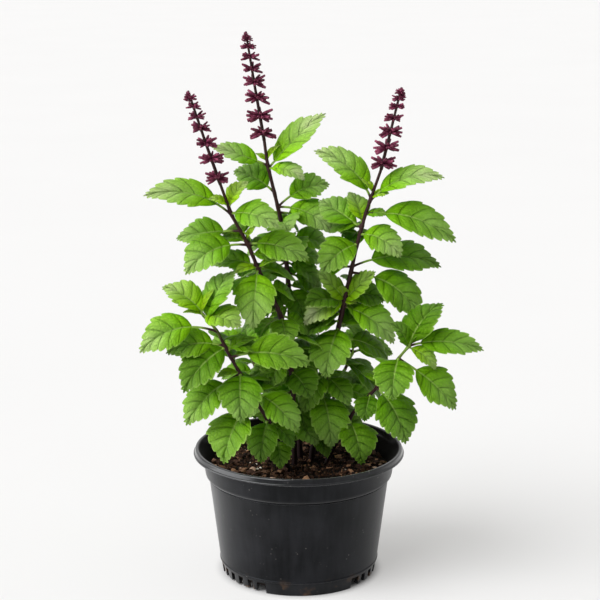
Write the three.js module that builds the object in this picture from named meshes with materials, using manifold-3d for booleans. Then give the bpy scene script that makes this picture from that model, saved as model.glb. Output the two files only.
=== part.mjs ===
// A holy basil plant in a round black nursery pot: three tall leafy stems that end in flower
// spikes, two low ones at the front and two at the back, each rising from its own hole in the soil.
// Millimetres, +Z up, with the front towards -Y. The origin is the centre of the pot's base, on
// the ground.
import * as THREE from "three";
import { mergeVertices } from "three/addons/utils/BufferGeometryUtils.js";
import Module from "manifold-3d";

const wasm = await Module();
wasm.setup();

// Pot
const RIM_DIAMETER = 150;
const POT_HEIGHT = 91.5;
const WALL = 1.4;
const POT_SIDES = 32;
const LIP_DROP = 4.6; // height of the rolled lip
const LIP_CREST_INSET = 2.6; // from the lip's outer face to its highest line
const LIP_ROUND = 0.9; // how far the lip's edges are cut back
const LIP_DISH = 1.4; // how far the lip's inner and outer edges lie below its crest
const COLLAR_TOP_DIAMETER = 137;
const COLLAR_FOOT_DIAMETER = 132.6;
const COLLAR_FOOT_HEIGHT = 71;
const SHOULDER_DROP = 0.6; // slope of the ledge from the collar's foot in to the body
const BODY_TOP_DIAMETER = 128;
const BODY_FOOT_DIAMETER = 113;
const BAND_HEIGHT = 10; // the drawn-in band round the foot
const BAND_LINE = 0.5; // how far the line above the band stands out
const BAND_LINE_HEIGHT = 1;
const BASE_DIAMETER = 109.6;
const FOOT_RING = 2.4; // width of the ring that the pot stands on
const FLOOR_HEIGHT = 4; // underside of the raised floor
const BUTTON_DIAMETER = 36; // the middle of the floor, which comes down to the ground
const DRAIN_HOLES = 6;
const DRAIN_HOLE_DIAMETER = 7;
const DRAIN_HOLE_SIDES = 8;
const DRAIN_CIRCLE_DIAMETER = 70;

// Slots in the pot's foot, in three groups with a plain stretch between them
const SLOT_GROUPS = 3;
const SLOTS_PER_GROUP = 6;
const SLOT_PITCH = 9.4; // degrees
const FIRST_SLOT = -45; // degrees from +X, anticlockwise seen from above
const SLOT_WIDTH = 3.2;
const END_SLOT_WIDTH = 5.6;
const SLOT_HEIGHT = 7.6;
const SLOT_DEPTH = 10; // right through the foot ring

// Soil
const SOIL_HEIGHT = 77;
const SOIL_CROWN = 2.5; // how much higher the soil is in the middle
const SOIL_SPREAD = 1.5; // how much wider its top is than its neck below the collar
const BUMP_LENGTH = 3.4; // of the short waves on its surface, per radian
const BUMP_RELIEF = 0.7;
const SWELL_LENGTH = 4.8; // of the long waves on it, per radian
const SWELL_RELIEF = 0.4;
const SOIL_RINGS = 5;
const SOIL_SIDES = 20;
const GAP = 0.3; // between pieces that touch
const STEM_FOOT_HEIGHT = 56; // the stems go down into the soil as far as this
const STEM_HOLE_SIDES = 8;

// Foliage
const BLADE_THICKNESS = 0.7;
const STEM_SIDES = 6;
const PETIOLE_WIDTHS = [0.9, 1.5]; // under the smallest and the largest blades
const PETIOLE_SHARE = 0.1; // in between, its width as a share of the blade's
const PETIOLE_THICKNESSES = [1.3, 0.9]; // at the stem and at the blade
const BOW = 0.1; // rise of a leaf's middle, as a share of its length
const FOLD = 0.22; // rise of a blade's edges, as a share of its half width
const WAVE = 0.3; // rise and fall of the edge between tooth and notch
const TOOTH_DEPTH = 1.1;
const TOOTH_PLACES = [0.35, 0.95]; // of a notch and the tooth after it, in tooth lengths
const BLADE_SKEW = 0.85; // below 1 the widest place lies nearer the blade's foot
const BLADE_FULLNESS = 0.7; // below 1 the blade is fuller than a sine curve
const LEAFLET_WIDTH = 10; // up to this width a blade has a plain edge
const LEAFLET_WIDEST = 0.4;
const NARROW_BLADE = 22; // below this width it has two teeth a side, and otherwise three

// Flower spikes
const CALYCES_PER_WHORL = 5;
const CALYX_SIDES = 3;
const CALYX_RISE = 18; // degrees above the horizontal
const CALYX_GIRTH = 0.27; // its radius as a share of its reach from the axis
const CALYX_SWELL = 0.62; // where it is widest, as a share of its reach
const AXIS_RADII = [1.0, 0.6];
const AXIS_SIDES = 5;

// Each stem has its radius at the foot and at the top, the points that it passes through above the
// soil, and its leaves. A leaf is the height of its node, the reach from there to its tip in x, y
// and z, the blade's width, the petiole as a share of the reach, and the blade's roll towards the
// front in degrees. A spike has the points of its axis, and its whorls as height and reach.
const STEMS = [
  {
    name: "left_stem",
    radii: [2.3, 1.1],
    path: [
      [-3, -8, 82], [-4, -12, 140], [-9, -20, 181], [-15, -22, 199], [-28, -24, 226],
      [-34, -25, 242], [-45, -26, 262], [-53, -28, 284],
    ],
    leaves: [
      [263, -57, -12, 11, 18, 0.23, 50],
      [264, 32, -18, -6, 20, 0.08, 40],
      [269, -9, -4, 5, 5, 0.1, 20],
      [268, 12, 3, 15, 8, 0.1, 20],
      [252, -43, 10, -5, 19, 0.2, 40],
      [242, -41, -14, -18, 24, 0.27, 35],
      [245, 7, 3, 10, 6, 0.1, 0],
      [243, 40, -14, -9, 21, 0.15, 45],
      [227, -32, 10, 0, 16, 0.15, 35],
      [226, -15, -10, -1, 8, 0.1, 20],
      [226, 16, -5, 8, 10, 0.1, 20],
      [226, -2, -22, -36, 30, 0.12, 0],
      [196, -19, 8, -20, 18, 0.25, 20],
      [178, -18, 16, -31, 18, 0.2, 10],
      [105, 9, -14, -8, 16, 0.1, 20],
      [212, 18, 14, -12, 19, 0.2, 30],
      [192, 20, 8, -16, 19, 0.2, 30],
      [160, -16, -12, -18, 19, 0.2, 20],
      [124, -16, -8, -16, 18, 0.2, 20],
      [242, 6, 34, -8, 18, 0.2, 0],
      [226, -12, 32, -12, 18, 0.2, 0],
      [190, -16, 26, -20, 18, 0.2, 0],
    ],
    spike: {
      name: "left_spike",
      path: [[-53, -28, 284], [-63, -30, 314], [-73, -32, 347]],
      whorls: [
        [289, 8.8], [302, 8.8], [312.5, 8.2], [322.5, 7.4], [330, 6.4], [337, 5.2], [342.5, 4],
      ],
    },
  },
  {
    name: "centre_stem",
    radii: [2.5, 1.2],
    path: [
      [1, 8, 82], [-2, 10, 137], [-6, 12, 181], [-8, 14, 216], [-13, 16, 254],
      [-19, 18, 279], [-23, 18, 292], [-25, 20, 307],
    ],
    leaves: [
      [288, 42, 8, 37, 20, 0.2, 30],
      [290, -38, -6, 13, 17, 0.22, 40],
      [290, 24, -10, -3, 13, 0.08, 20],
      [294, 9, 4, 10, 6, 0.1, 10],
      [293, -8, 4, 5, 6, 0.1, 10],
      [271, -28, 4, 16, 18, 0.25, 35],
      [261, 34, 6, 15, 23, 0.25, 40],
      [261, 38, -12, -16, 21, 0.2, 40],
      [254, 15, 8, -9, 14, 0.1, 20],
      [238, 34, 10, -8, 20, 0.25, 35],
      [222, -18, 20, -26, 18, 0.2, 0],
      [202, 11, -8, -21, 18, 0.1, 0],
      [184, 22, 8, -18, 17, 0.15, 20],
      [228, 27, 12, -8, 20, 0.2, 35],
      [214, 25, 4, -16, 20, 0.2, 35],
      [196, -16, 14, -16, 19, 0.2, 35],
      [166, 16, -18, -14, 19, 0.15, 10],
      [158, -15, -16, -16, 19, 0.15, 10],
      [130, -14, -14, -16, 19, 0.15, 20],
      [254, -6, 32, -14, 18, 0.2, 0],
      [238, 12, 32, -14, 19, 0.2, 0],
      [216, -12, 30, -14, 18, 0.2, 0],
      [184, 12, 30, -12, 18, 0.2, 0],
    ],
    spike: {
      name: "centre_spike",
      path: [[-25, 20, 307], [-31, 22, 345], [-37, 24, 382]],
      whorls: [
        [313, 9.6], [325, 10], [337.5, 9.6], [348, 8.8], [357, 7.5], [365, 7], [372, 5.3], [378.5, 3.9],
      ],
    },
  },
  {
    name: "right_stem",
    radii: [2.4, 1.1],
    path: [
      [9, 2, 82], [15, 0, 125], [24, -2, 162], [29, -4, 185], [32, -6, 200], [36, -6, 219],
      [40, -6, 238], [46, -6, 261], [55, -8, 291],
    ],
    leaves: [
      [271, -39, 8, 32, 18, 0.2, 35],
      [269, 49, -8, 19, 20, 0.2, 40],
      [275, -6, 2, 8, 5, 0.1, 10],
      [271, 8, -3, 5, 8, 0.1, 20],
      [260, 61, -12, -16, 23, 0.22, 45],
      [259, 10, -3, 2, 7, 0.1, 20],
      [252, -8, 12, 22, 16, 0.15, 0],
      [250, -28, 16, 21, 17, 0.3, 25],
      [246, 26, -12, -14, 20, 0.08, 35],
      [239, -25, -14, -17, 24, 0.05, 30],
      [223, 61, 8, -2, 21, 0.25, 40],
      [219, 48, -8, -30, 27, 0.28, 40],
      [201, -18, 8, 17, 17, 0.1, 0],
      [200, 22, 4, 19, 19, 0.1, 30],
      [199, -26, -10, -12, 15, 0.08, 30],
      [198, 25, 14, -4, 15, 0.2, 10],
      [195, 35, -10, -24, 21, 0.2, 35],
      [179, -9, -22, -30, 28, 0.05, 0],
      [171, 38, 10, -17, 20, 0.28, 35],
      [158, 36, 5, -34, 21, 0.3, 25],
      [146, -17, -14, -25, 24, 0.1, 10],
      [131, 7, -24, -33, 26, 0.12, 0],
      [100, 8, -18, -12, 13, 0.1, 0],
      [223, -24, 14, -12, 20, 0.2, 35],
      [204, -22, 14, -16, 20, 0.2, 35],
      [188, -22, 18, -6, 20, 0.2, 35],
      [246, -4, 34, -12, 18, 0.2, 0],
      [223, 10, 34, -10, 18, 0.2, 0],
      [200, 0, 30, -14, 18, 0.2, 0],
      [179, 14, 30, -12, 18, 0.2, 0],
    ],
    spike: {
      name: "right_spike",
      path: [[55, -8, 291], [61, -9, 319], [68, -10, 347]],
      whorls: [
        [296, 9.8], [307, 9.4], [317.5, 8.6], [326.5, 6.6], [334.5, 5.3], [340, 5], [344, 4.1],
      ],
    },
  },
  {
    name: "low_left_stem",
    radii: [2, 1],
    path: [
      [-8, -18, 82], [-19, -30, 116], [-30, -42, 138], [-39, -48, 157], [-47, -50, 172],
      [-55, -50, 189], [-65, -48, 200],
    ],
    leaves: [
      [188, -51, -8, -13, 22, 0.33, 50],
      [178, -39, -2, -4, 20, 0.2, 45],
      [177, -26, -16, -27, 26, 0.05, 30],
      [158, -36, -14, -32, 24, 0.3, 30],
      [158, 0, -22, -26, 29, 0.05, 0],
      [139, -21, -26, -37, 30, 0.36, 0],
      [159, -15, -6, -1, 7, 0.1, 20],
      [170, 53, -10, -2, 24, 0.22, 45],
      [198, 14, 14, 30, 23, 0.2, 0],
      [199, -27, 8, 21, 21, 0.12, 25],
      [200, 8, 5, 16, 7, 0.1, 0],
      [199, -13, -4, 3, 5, 0.1, 20],
      [197, 23, -14, -6, 19, 0.08, 20],
      [174, 19, 4, 9, 9, 0.1, 20],
      [146, 33, -14, -26, 23, 0.25, 25],
      [121, -5, -18, -25, 19, 0.1, 0],
    ],
  },
  {
    name: "low_right_stem",
    radii: [2, 1],
    path: [[20, -4, 82], [38, -8, 118], [54, -23, 141], [68, -34, 165], [76, -34, 175]],
    leaves: [
      [174, 20, 12, 28, 19, 0.15, 10],
      [174, 48, -6, -1, 20, 0.2, 50],
      [174, 13, 8, 7, 7, 0.1, 10],
      [174, -9, 4, 14, 9, 0.1, 0],
      [173, 16, -8, -11, 11, 0.1, 20],
      [165, -6, -18, -24, 26, 0.05, 0],
      [165, 39, -12, -31, 23, 0.3, 35],
      [141, 20, -18, -32, 28, 0.25, 15],
      [113, 14, -23, -25, 24, 0.12, 0],
      [135, -4, -14, -15, 16, 0.1, 0],
    ],
  },
  {
    name: "back_left_stem",
    radii: [2, 1],
    path: [[-11, 12, 82], [-18, 22, 105], [-28, 34, 130], [-37, 42, 152]],
    leaves: [
      [151, -30, 8, 2, 20, 0.15, 35],
      [151, 30, 6, 8, 20, 0.15, 35],
      [150, -4, 22, 14, 17, 0.15, 0],
      [140, -8, 32, -8, 20, 0.2, 0],
      [140, 10, -24, -14, 20, 0.15, 0],
      [126, -30, 8, -14, 20, 0.2, 35],
      [126, 22, -6, -14, 20, 0.2, 35],
      [110, -12, 32, -16, 20, 0.2, 0],
      [110, 26, -2, -14, 20, 0.2, 35],
    ],
  },
  {
    name: "back_right_stem",
    radii: [2, 1],
    path: [[12, 14, 82], [20, 22, 105], [30, 34, 130], [40, 43, 150]],
    leaves: [
      [149, 30, 6, -2, 20, 0.15, 35],
      [149, -30, 4, 6, 20, 0.15, 35],
      [148, 6, 22, 14, 17, 0.15, 0],
      [138, 10, 32, -8, 20, 0.2, 0],
      [138, -10, -24, -14, 20, 0.15, 0],
      [124, 30, 6, -14, 20, 0.2, 35],
      [124, -24, 8, -12, 20, 0.2, 35],
      [108, 12, 32, -16, 20, 0.2, 0],
      [108, 26, 0, -14, 20, 0.2, 35],
    ],
  },
];

const POT_FINISH = { color: 0x2b2c2e, roughness: 0.45, metalness: 0 };
const SOIL_FINISH = { color: 0x3a2618, roughness: 0.95, metalness: 0 };
const LEAF_FINISH = { color: 0x4f8a26, roughness: 0.5, metalness: 0 };
const SPIKE_FINISH = { color: 0x5c1a3c, roughness: 0.6, metalness: 0 };

const UP = new THREE.Vector3(0, 0, 1);
const FRONT = new THREE.Vector3(0, -1, 0);
const MERGE_DISTANCE = 1e-4;
const NEARLY_ALONG_X = 0.9;
const LEAF_ROW = 6; // points in a row across a leaf

const vector = (point) => new THREE.Vector3(...point);

function solidOf(geometry) {
  const bare = new THREE.BufferGeometry();
  bare.setAttribute("position", geometry.getAttribute("position"));
  bare.setIndex(geometry.index);
  const merged = mergeVertices(bare, MERGE_DISTANCE);
  const mesh = new wasm.Mesh({
    numProp: 3,
    vertProperties: new Float32Array(merged.attributes.position.array),
    triVerts: new Uint32Array(merged.index.array),
  });
  return new wasm.Manifold(mesh);
}

function solidFrom(points, faces) {
  const geometry = new THREE.BufferGeometry().setFromPoints(points);
  geometry.setIndex(faces.flat());
  return solidOf(geometry);
}

function meshOf(name, solid, finish) {
  const { vertProperties, triVerts } = solid.getMesh();
  const geometry = new THREE.BufferGeometry();
  geometry.setAttribute("position", new THREE.BufferAttribute(vertProperties, 3));
  geometry.setIndex(new THREE.BufferAttribute(triVerts, 1));
  geometry.computeVertexNormals();
  const mesh = new THREE.Mesh(geometry, new THREE.MeshStandardMaterial(finish));
  mesh.name = name;
  return mesh;
}

const fuse = (solids) => solids.reduce((whole, solid) => whole.add(solid));

// A closed solid of revolution about +Z from profile points [radius, height].
function turned(profile, sides) {
  const points = profile.map(([radius, height]) => new THREE.Vector2(radius, height));
  return solidOf(new THREE.LatheGeometry(points, sides).rotateX(Math.PI / 2));
}

// An upright box with its middle at an angle and distance from the Z axis.
function boxAt(angle, distance, size, height) {
  const [deep, wide, tall] = size;
  const box = new THREE.BoxGeometry(deep, wide, tall);
  box.translate(distance, 0, height);
  return solidOf(box.rotateZ(THREE.MathUtils.degToRad(angle)));
}

function uprightRod(x, y, low, high, radius, sides) {
  const rod = new THREE.CylinderGeometry(radius, radius, high - low, sides);
  return solidOf(rod.rotateX(Math.PI / 2).translate(x, y, (low + high) / 2));
}

// A closed tube through rings of points, each ring anticlockwise about the way along the tube.
function skinned(rings) {
  const sides = rings[0].length;
  const faces = [];
  for (let ring = 0; ring + 1 < rings.length; ring++)
    for (let side = 0; side < sides; side++) {
      const here = ring * sides + side;
      const beside = ring * sides + ((side + 1) % sides);
      faces.push([here, beside, beside + sides], [here, beside + sides, here + sides]);
    }
  const last = (rings.length - 1) * sides;
  for (let side = 1; side + 1 < sides; side++)
    faces.push([0, side + 1, side], [last, last + side, last + side + 1]);
  return solidFrom(rings.flat(), faces);
}

// A ring of points round a centre, square to a direction.
function ringAt(centre, direction, radius, sides) {
  const across = new THREE.Vector3(1, 0, 0);
  if (Math.abs(direction.x) > NEARLY_ALONG_X) across.set(0, 1, 0);
  across.addScaledVector(direction, -across.dot(direction)).normalize();
  const along = direction.clone().cross(across);
  return Array.from({ length: sides }, (_, side) => {
    const angle = (2 * Math.PI * side) / sides;
    const point = centre.clone().addScaledVector(across, radius * Math.cos(angle));
    return point.addScaledVector(along, radius * Math.sin(angle));
  });
}

// A tube that tapers along straight runs between the points.
function taperedTube(points, [footRadius, topRadius], sides) {
  const last = points.length - 1;
  const rings = points.map((point, index) => {
    const before = points[Math.max(0, index - 1)];
    const after = points[Math.min(last, index + 1)];
    const radius = footRadius + ((topRadius - footRadius) * index) / last;
    return ringAt(point, after.clone().sub(before).normalize(), radius, sides);
  });
  return skinned(rings);
}

// Pot: a thin moulded shell with a rolled lip, a collar, a tapering body and a slotted foot.
function potProfile() {
  const rim = RIM_DIAMETER / 2;
  const collarTop = COLLAR_TOP_DIAMETER / 2;
  const collarFoot = COLLAR_FOOT_DIAMETER / 2;
  const bodyTop = BODY_TOP_DIAMETER / 2;
  const bodyFoot = BODY_FOOT_DIAMETER / 2;
  const base = BASE_DIAMETER / 2;
  const button = BUTTON_DIAMETER / 2;
  const lipFoot = POT_HEIGHT - LIP_DROP;
  const inside = (radius) => radius - WALL;
  return [
    [0, 0],
    [button, 0],
    [button + WALL, FLOOR_HEIGHT],
    [base - FOOT_RING, FLOOR_HEIGHT],
    [base - FOOT_RING, 0],
    [base, 0],
    [bodyFoot, BAND_HEIGHT - BAND_LINE_HEIGHT],
    [bodyFoot + BAND_LINE, BAND_HEIGHT],
    [bodyTop, COLLAR_FOOT_HEIGHT - SHOULDER_DROP],
    [collarFoot, COLLAR_FOOT_HEIGHT],
    [collarTop, lipFoot],
    [rim - LIP_ROUND, lipFoot],
    [rim, lipFoot + LIP_ROUND],
    [rim, POT_HEIGHT - LIP_DISH],
    [rim - LIP_CREST_INSET, POT_HEIGHT],
    [collarTop - LIP_ROUND, POT_HEIGHT - LIP_DISH],
    [inside(collarTop), lipFoot],
    [inside(bodyTop), COLLAR_FOOT_HEIGHT - WALL],
    [inside(bodyFoot), FLOOR_HEIGHT + WALL],
    [button, FLOOR_HEIGHT + WALL],
    [button - WALL, WALL],
    [0, WALL],
  ];
}

function slotCutters() {
  const cutters = [];
  for (let group = 0; group < SLOT_GROUPS; group++)
    for (let slot = 0; slot < SLOTS_PER_GROUP; slot++) {
      const atEnd = slot === 0 || slot === SLOTS_PER_GROUP - 1;
      const width = atEnd ? END_SLOT_WIDTH : SLOT_WIDTH;
      const angle = FIRST_SLOT + (360 / SLOT_GROUPS) * group + SLOT_PITCH * slot;
      const size = [SLOT_DEPTH, width, 2 * SLOT_HEIGHT];
      cutters.push(boxAt(angle, BASE_DIAMETER / 2, size, 0));
    }
  return cutters;
}

function drainCutters() {
  const reach = DRAIN_CIRCLE_DIAMETER / 2;
  const radius = DRAIN_HOLE_DIAMETER / 2;
  return Array.from({ length: DRAIN_HOLES }, (_, hole) => {
    const angle = (2 * Math.PI * hole) / DRAIN_HOLES;
    const x = reach * Math.cos(angle);
    const y = reach * Math.sin(angle);
    return uprightRod(x, y, FLOOR_HEIGHT - WALL, FLOOR_HEIGHT + 2 * WALL, radius, DRAIN_HOLE_SIDES);
  });
}

function pot() {
  const shell = turned(potProfile(), POT_SIDES);
  const cut = [...slotCutters(), ...drainCutters()].reduce((rest, tool) => rest.subtract(tool), shell);
  return meshOf("pot", cut, POT_FINISH);
}

// Soil: it fills the pot to below the collar's top, with an uneven crumbly surface.
function soilLevel(x, y) {
  const outward = Math.hypot(x, y) / (COLLAR_TOP_DIAMETER / 2);
  const bumps = BUMP_RELIEF * Math.sin(x / BUMP_LENGTH) * Math.cos(y / BUMP_LENGTH);
  const swells = SWELL_RELIEF * Math.sin((x - y) / SWELL_LENGTH);
  return SOIL_HEIGHT + SOIL_CROWN * (1 - outward * outward) + bumps + swells;
}

function soilReach(height) {
  const low = FLOOR_HEIGHT + WALL;
  const share = (height - low) / (COLLAR_FOOT_HEIGHT - WALL - low);
  const radius = BODY_FOOT_DIAMETER / 2 + (share * (BODY_TOP_DIAMETER - BODY_FOOT_DIAMETER)) / 2;
  return radius - WALL - 2 * GAP;
}

function soilBody() {
  const bottom = FLOOR_HEIGHT + WALL + GAP;
  const neck = COLLAR_FOOT_HEIGHT - WALL;
  const loops = [];
  const loop = (radius, height) =>
    Array.from({ length: SOIL_SIDES }, (_, side) => {
      const angle = (2 * Math.PI * side) / SOIL_SIDES;
      const x = radius * Math.cos(angle);
      const y = radius * Math.sin(angle);
      return new THREE.Vector3(x, y, height ?? soilLevel(x, y));
    });
  loops.push(loop(soilReach(bottom), bottom));
  loops.push(loop(soilReach(neck), neck));
  const top = soilReach(neck) + SOIL_SPREAD;
  for (let ring = SOIL_RINGS; ring > 0; ring--) loops.push(loop((top * ring) / SOIL_RINGS));
  return skinned(loops);
}

function stemHoles() {
  return STEMS.map(({ path, radii }) => {
    const [x, y] = path[0];
    const radius = (radii[0] + GAP) / Math.cos(Math.PI / STEM_HOLE_SIDES);
    return uprightRod(x, y, STEM_FOOT_HEIGHT - GAP, POT_HEIGHT, radius, STEM_HOLE_SIDES);
  });
}

function soil() {
  const body = stemHoles().reduce((rest, hole) => rest.subtract(hole), soilBody());
  return meshOf("soil", body, SOIL_FINISH);
}

// The point of a stem at a given height.
function pointAtHeight(points, height) {
  const above = points.findIndex((point) => point.z >= height);
  if (above < 1) return points[above < 0 ? points.length - 1 : 0].clone();
  const below = points[above - 1];
  return below.clone().lerp(points[above], (height - below.z) / (points[above].z - below.z));
}

// The outline of a blade: its half width, as a share of the whole, at each share of its length.
const outline = (share) => Math.sin(Math.PI * share ** BLADE_SKEW) ** BLADE_FULLNESS / 2;

// The rows across a blade, between its foot and its tip: the share of its length, and +1 where a
// tooth stands out, -1 in a notch.
function bladeRows(width) {
  if (width <= LEAFLET_WIDTH) return [[LEAFLET_WIDEST, 0]];
  const teeth = width < NARROW_BLADE ? 2 : 3;
  const [notchPlace, toothPlace] = TOOTH_PLACES;
  const rows = [];
  for (let tooth = 0; tooth < teeth; tooth++) {
    rows.push([(tooth + notchPlace) / (teeth + notchPlace), -1]);
    rows.push([(tooth + toothPlace) / (teeth + notchPlace), 1]);
  }
  return rows;
}

// A leaf's own frame: its middle line from the node to the tip, bowed upwards, and the blade's
// normal, which the roll turns towards the front.
function leafFrame(node, leaf) {
  const [, x, y, z, , , roll] = leaf;
  const reach = new THREE.Vector3(x, y, z);
  const direction = reach.clone().normalize();
  const upright = UP.clone().addScaledVector(direction, -UP.dot(direction)).normalize();
  const side = direction.clone().cross(upright);
  if (side.dot(FRONT) < 0) side.negate();
  const angle = THREE.MathUtils.degToRad(roll);
  const normal = upright.clone().multiplyScalar(Math.cos(angle)).addScaledVector(side, Math.sin(angle));
  const bow = BOW * reach.length();
  const pointAt = (share) =>
    node.clone().addScaledVector(reach, share).addScaledVector(upright, 4 * bow * share * (1 - share));
  const tangentAt = (share) => reach.clone().addScaledVector(upright, 4 * bow * (1 - 2 * share)).normalize();
  return { pointAt, tangentAt, normal };
}

// Six points across a leaf: left edge, middle and right edge, on its upper and then its under face.
function rowAcross(frame, share, halfWidth, lift, thickness) {
  const tangent = frame.tangentAt(share);
  const normal = frame.normal.clone().addScaledVector(tangent, -frame.normal.dot(tangent)).normalize();
  const across = tangent.clone().cross(normal);
  const place = (sideways, height) =>
    frame.pointAt(share).addScaledVector(across, sideways).addScaledVector(normal, height);
  const half = thickness / 2;
  return [
    place(-halfWidth, lift + half), place(0, half), place(halfWidth, lift + half),
    place(-halfWidth, lift - half), place(0, -half), place(halfWidth, lift - half),
  ];
}

// A leaf as one closed strip, from the middle of the stem along the petiole to the blade's tip.
function leafSolid(node, leaf) {
  const [, , , , width, petiole] = leaf;
  const frame = leafFrame(node, leaf);
  const slim = THREE.MathUtils.clamp(PETIOLE_SHARE * width, ...PETIOLE_WIDTHS);
  const [stemThickness, bladeThickness] = PETIOLE_THICKNESSES;
  const rows = [
    rowAcross(frame, 0, slim / 2, 0, stemThickness),
    rowAcross(frame, petiole, slim / 2, 0, bladeThickness),
  ];
  for (const [share, tooth] of bladeRows(width)) {
    const halfWidth = width * outline(share) + (tooth * TOOTH_DEPTH) / 2;
    const lift = FOLD * halfWidth - tooth * WAVE;
    rows.push(rowAcross(frame, petiole + (1 - petiole) * share, halfWidth, lift, BLADE_THICKNESS));
  }
  const faces = [[0, 3, 4], [0, 4, 1], [1, 4, 5], [1, 5, 2]];
  for (let row = 0; row + 1 < rows.length; row++) {
    const a = LEAF_ROW * row;
    const b = a + LEAF_ROW;
    faces.push(
      [a, a + 1, b + 1], [a, b + 1, b], [a + 1, a + 2, b + 2], [a + 1, b + 2, b + 1],
      [a + 3, b + 4, a + 4], [a + 3, b + 3, b + 4], [a + 4, b + 5, a + 5], [a + 4, b + 4, b + 5],
      [a + 2, a + 5, b + 5], [a + 2, b + 5, b + 2], [a, b, b + 3], [a, b + 3, a + 3],
    );
  }
  const end = LEAF_ROW * (rows.length - 1);
  const upper = end + LEAF_ROW;
  const under = upper + 1;
  faces.push([end, end + 1, upper], [end + 1, end + 2, upper]);
  faces.push([end + 3, under, end + 4], [end + 4, under, end + 5]);
  faces.push([end + 2, end + 5, under], [end + 2, under, upper], [end, upper, under], [end, under, end + 3]);
  const tip = rowAcross(frame, 1, 0, 0, BLADE_THICKNESS);
  return solidFrom([...rows.flat(), tip[1], tip[4]], faces);
}

function leafyStem(stem) {
  const points = stem.path.map(vector);
  const [x, y] = stem.path[0];
  const route = [new THREE.Vector3(x, y, STEM_FOOT_HEIGHT), ...points];
  const tube = taperedTube(route, stem.radii, STEM_SIDES);
  const leaves = stem.leaves.map((leaf) => leafSolid(pointAtHeight(points, leaf[0]), leaf));
  return meshOf(stem.name, fuse([tube, ...leaves]), LEAF_FINISH);
}

// A calyx: a slim pointed bud that grows out of the spike's axis.
function calyx(foot, azimuth, reach) {
  const rise = THREE.MathUtils.degToRad(CALYX_RISE);
  const out = new THREE.Vector3(Math.cos(azimuth), Math.sin(azimuth), Math.tan(rise)).normalize();
  const swell = foot.clone().addScaledVector(out, reach * CALYX_SWELL);
  const waist = ringAt(swell, out, reach * CALYX_GIRTH, CALYX_SIDES);
  const tip = foot.clone().addScaledVector(out, reach);
  const faces = [];
  for (let side = 0; side < CALYX_SIDES; side++) {
    const here = side + 1;
    const beside = ((side + 1) % CALYX_SIDES) + 1;
    faces.push([0, beside, here], [CALYX_SIDES + 1, here, beside]);
  }
  return solidFrom([foot, ...waist, tip], faces);
}

function spike({ name, path, whorls }) {
  const points = path.map(vector);
  const start = points[0].clone();
  start.addScaledVector(points[1].clone().sub(start).normalize(), GAP);
  const axis = taperedTube([start, ...points.slice(1)], AXIS_RADII, AXIS_SIDES);
  const calyces = whorls.flatMap(([height, reach], whorl) =>
    Array.from({ length: CALYCES_PER_WHORL }, (_, place) => {
      const azimuth = (2 * Math.PI * (place + (whorl % 2) / 2)) / CALYCES_PER_WHORL;
      return calyx(pointAtHeight(points, height), azimuth, reach);
    }),
  );
  return meshOf(name, fuse([axis, ...calyces]), SPIKE_FINISH);
}

const plant = new THREE.Group();
plant.add(pot(), soil());
for (const stem of STEMS) {
  plant.add(leafyStem(stem));
  if (stem.spike) plant.add(spike(stem.spike));
}

export default plant;
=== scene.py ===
import math
import random

import bpy
import numpy as np
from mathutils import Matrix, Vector, noise


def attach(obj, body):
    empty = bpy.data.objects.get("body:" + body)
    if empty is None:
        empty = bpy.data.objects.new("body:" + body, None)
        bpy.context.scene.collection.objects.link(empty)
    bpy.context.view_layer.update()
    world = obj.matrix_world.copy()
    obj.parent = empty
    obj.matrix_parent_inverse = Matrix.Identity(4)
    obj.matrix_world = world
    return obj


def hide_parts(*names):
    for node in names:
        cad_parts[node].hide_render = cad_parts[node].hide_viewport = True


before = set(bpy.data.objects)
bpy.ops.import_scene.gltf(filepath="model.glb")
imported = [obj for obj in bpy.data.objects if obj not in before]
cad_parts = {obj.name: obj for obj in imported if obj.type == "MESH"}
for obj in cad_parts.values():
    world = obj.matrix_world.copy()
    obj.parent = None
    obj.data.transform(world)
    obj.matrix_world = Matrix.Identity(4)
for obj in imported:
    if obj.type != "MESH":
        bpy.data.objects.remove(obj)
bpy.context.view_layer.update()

MM = 0.001

# Camera: one metre and a bit in front of the pot, looking down on it a little
CAMERA_PLACE = (0, -1.100, 0.454)
CAMERA_PITCH = 76.9  # degrees from straight down
CAMERA_LENS = 97.0
SENSOR = 36.0
CAMERA_SHIFT = 0.002

# Light: a soft key lamp from the upper left, and a pale room that is darker behind the camera
KEY_WAY = (0.50, 0.42, -0.76)
KEY_WIDTH = 46.0
KEY_STRENGTH = 2.6
KEY_COLOUR = (0.99, 0.99, 1.0)
SKY_RAMP = (-0.9, 0.5, 0.27, 0.52)  # from behind the camera to in front of it, and its strength there
WINDOW_WAY = (-0.92, -0.10, 0.26)
WINDOW_EDGES = (0.78, 0.96)
WINDOW_STRENGTH = 3.4
FLOOR_SIZE = 40  # metres
FLOOR_PAPER = ((0.44, 0.44, 0.44, 1), (0.46, 0.46, 0.46, 1))
FLOOR_GLOW = (0.382, 0.376, 0.367)
FLOOR_GLOW_EDGE = (0.050, 0.062)  # metres from the middle of the pot

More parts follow.
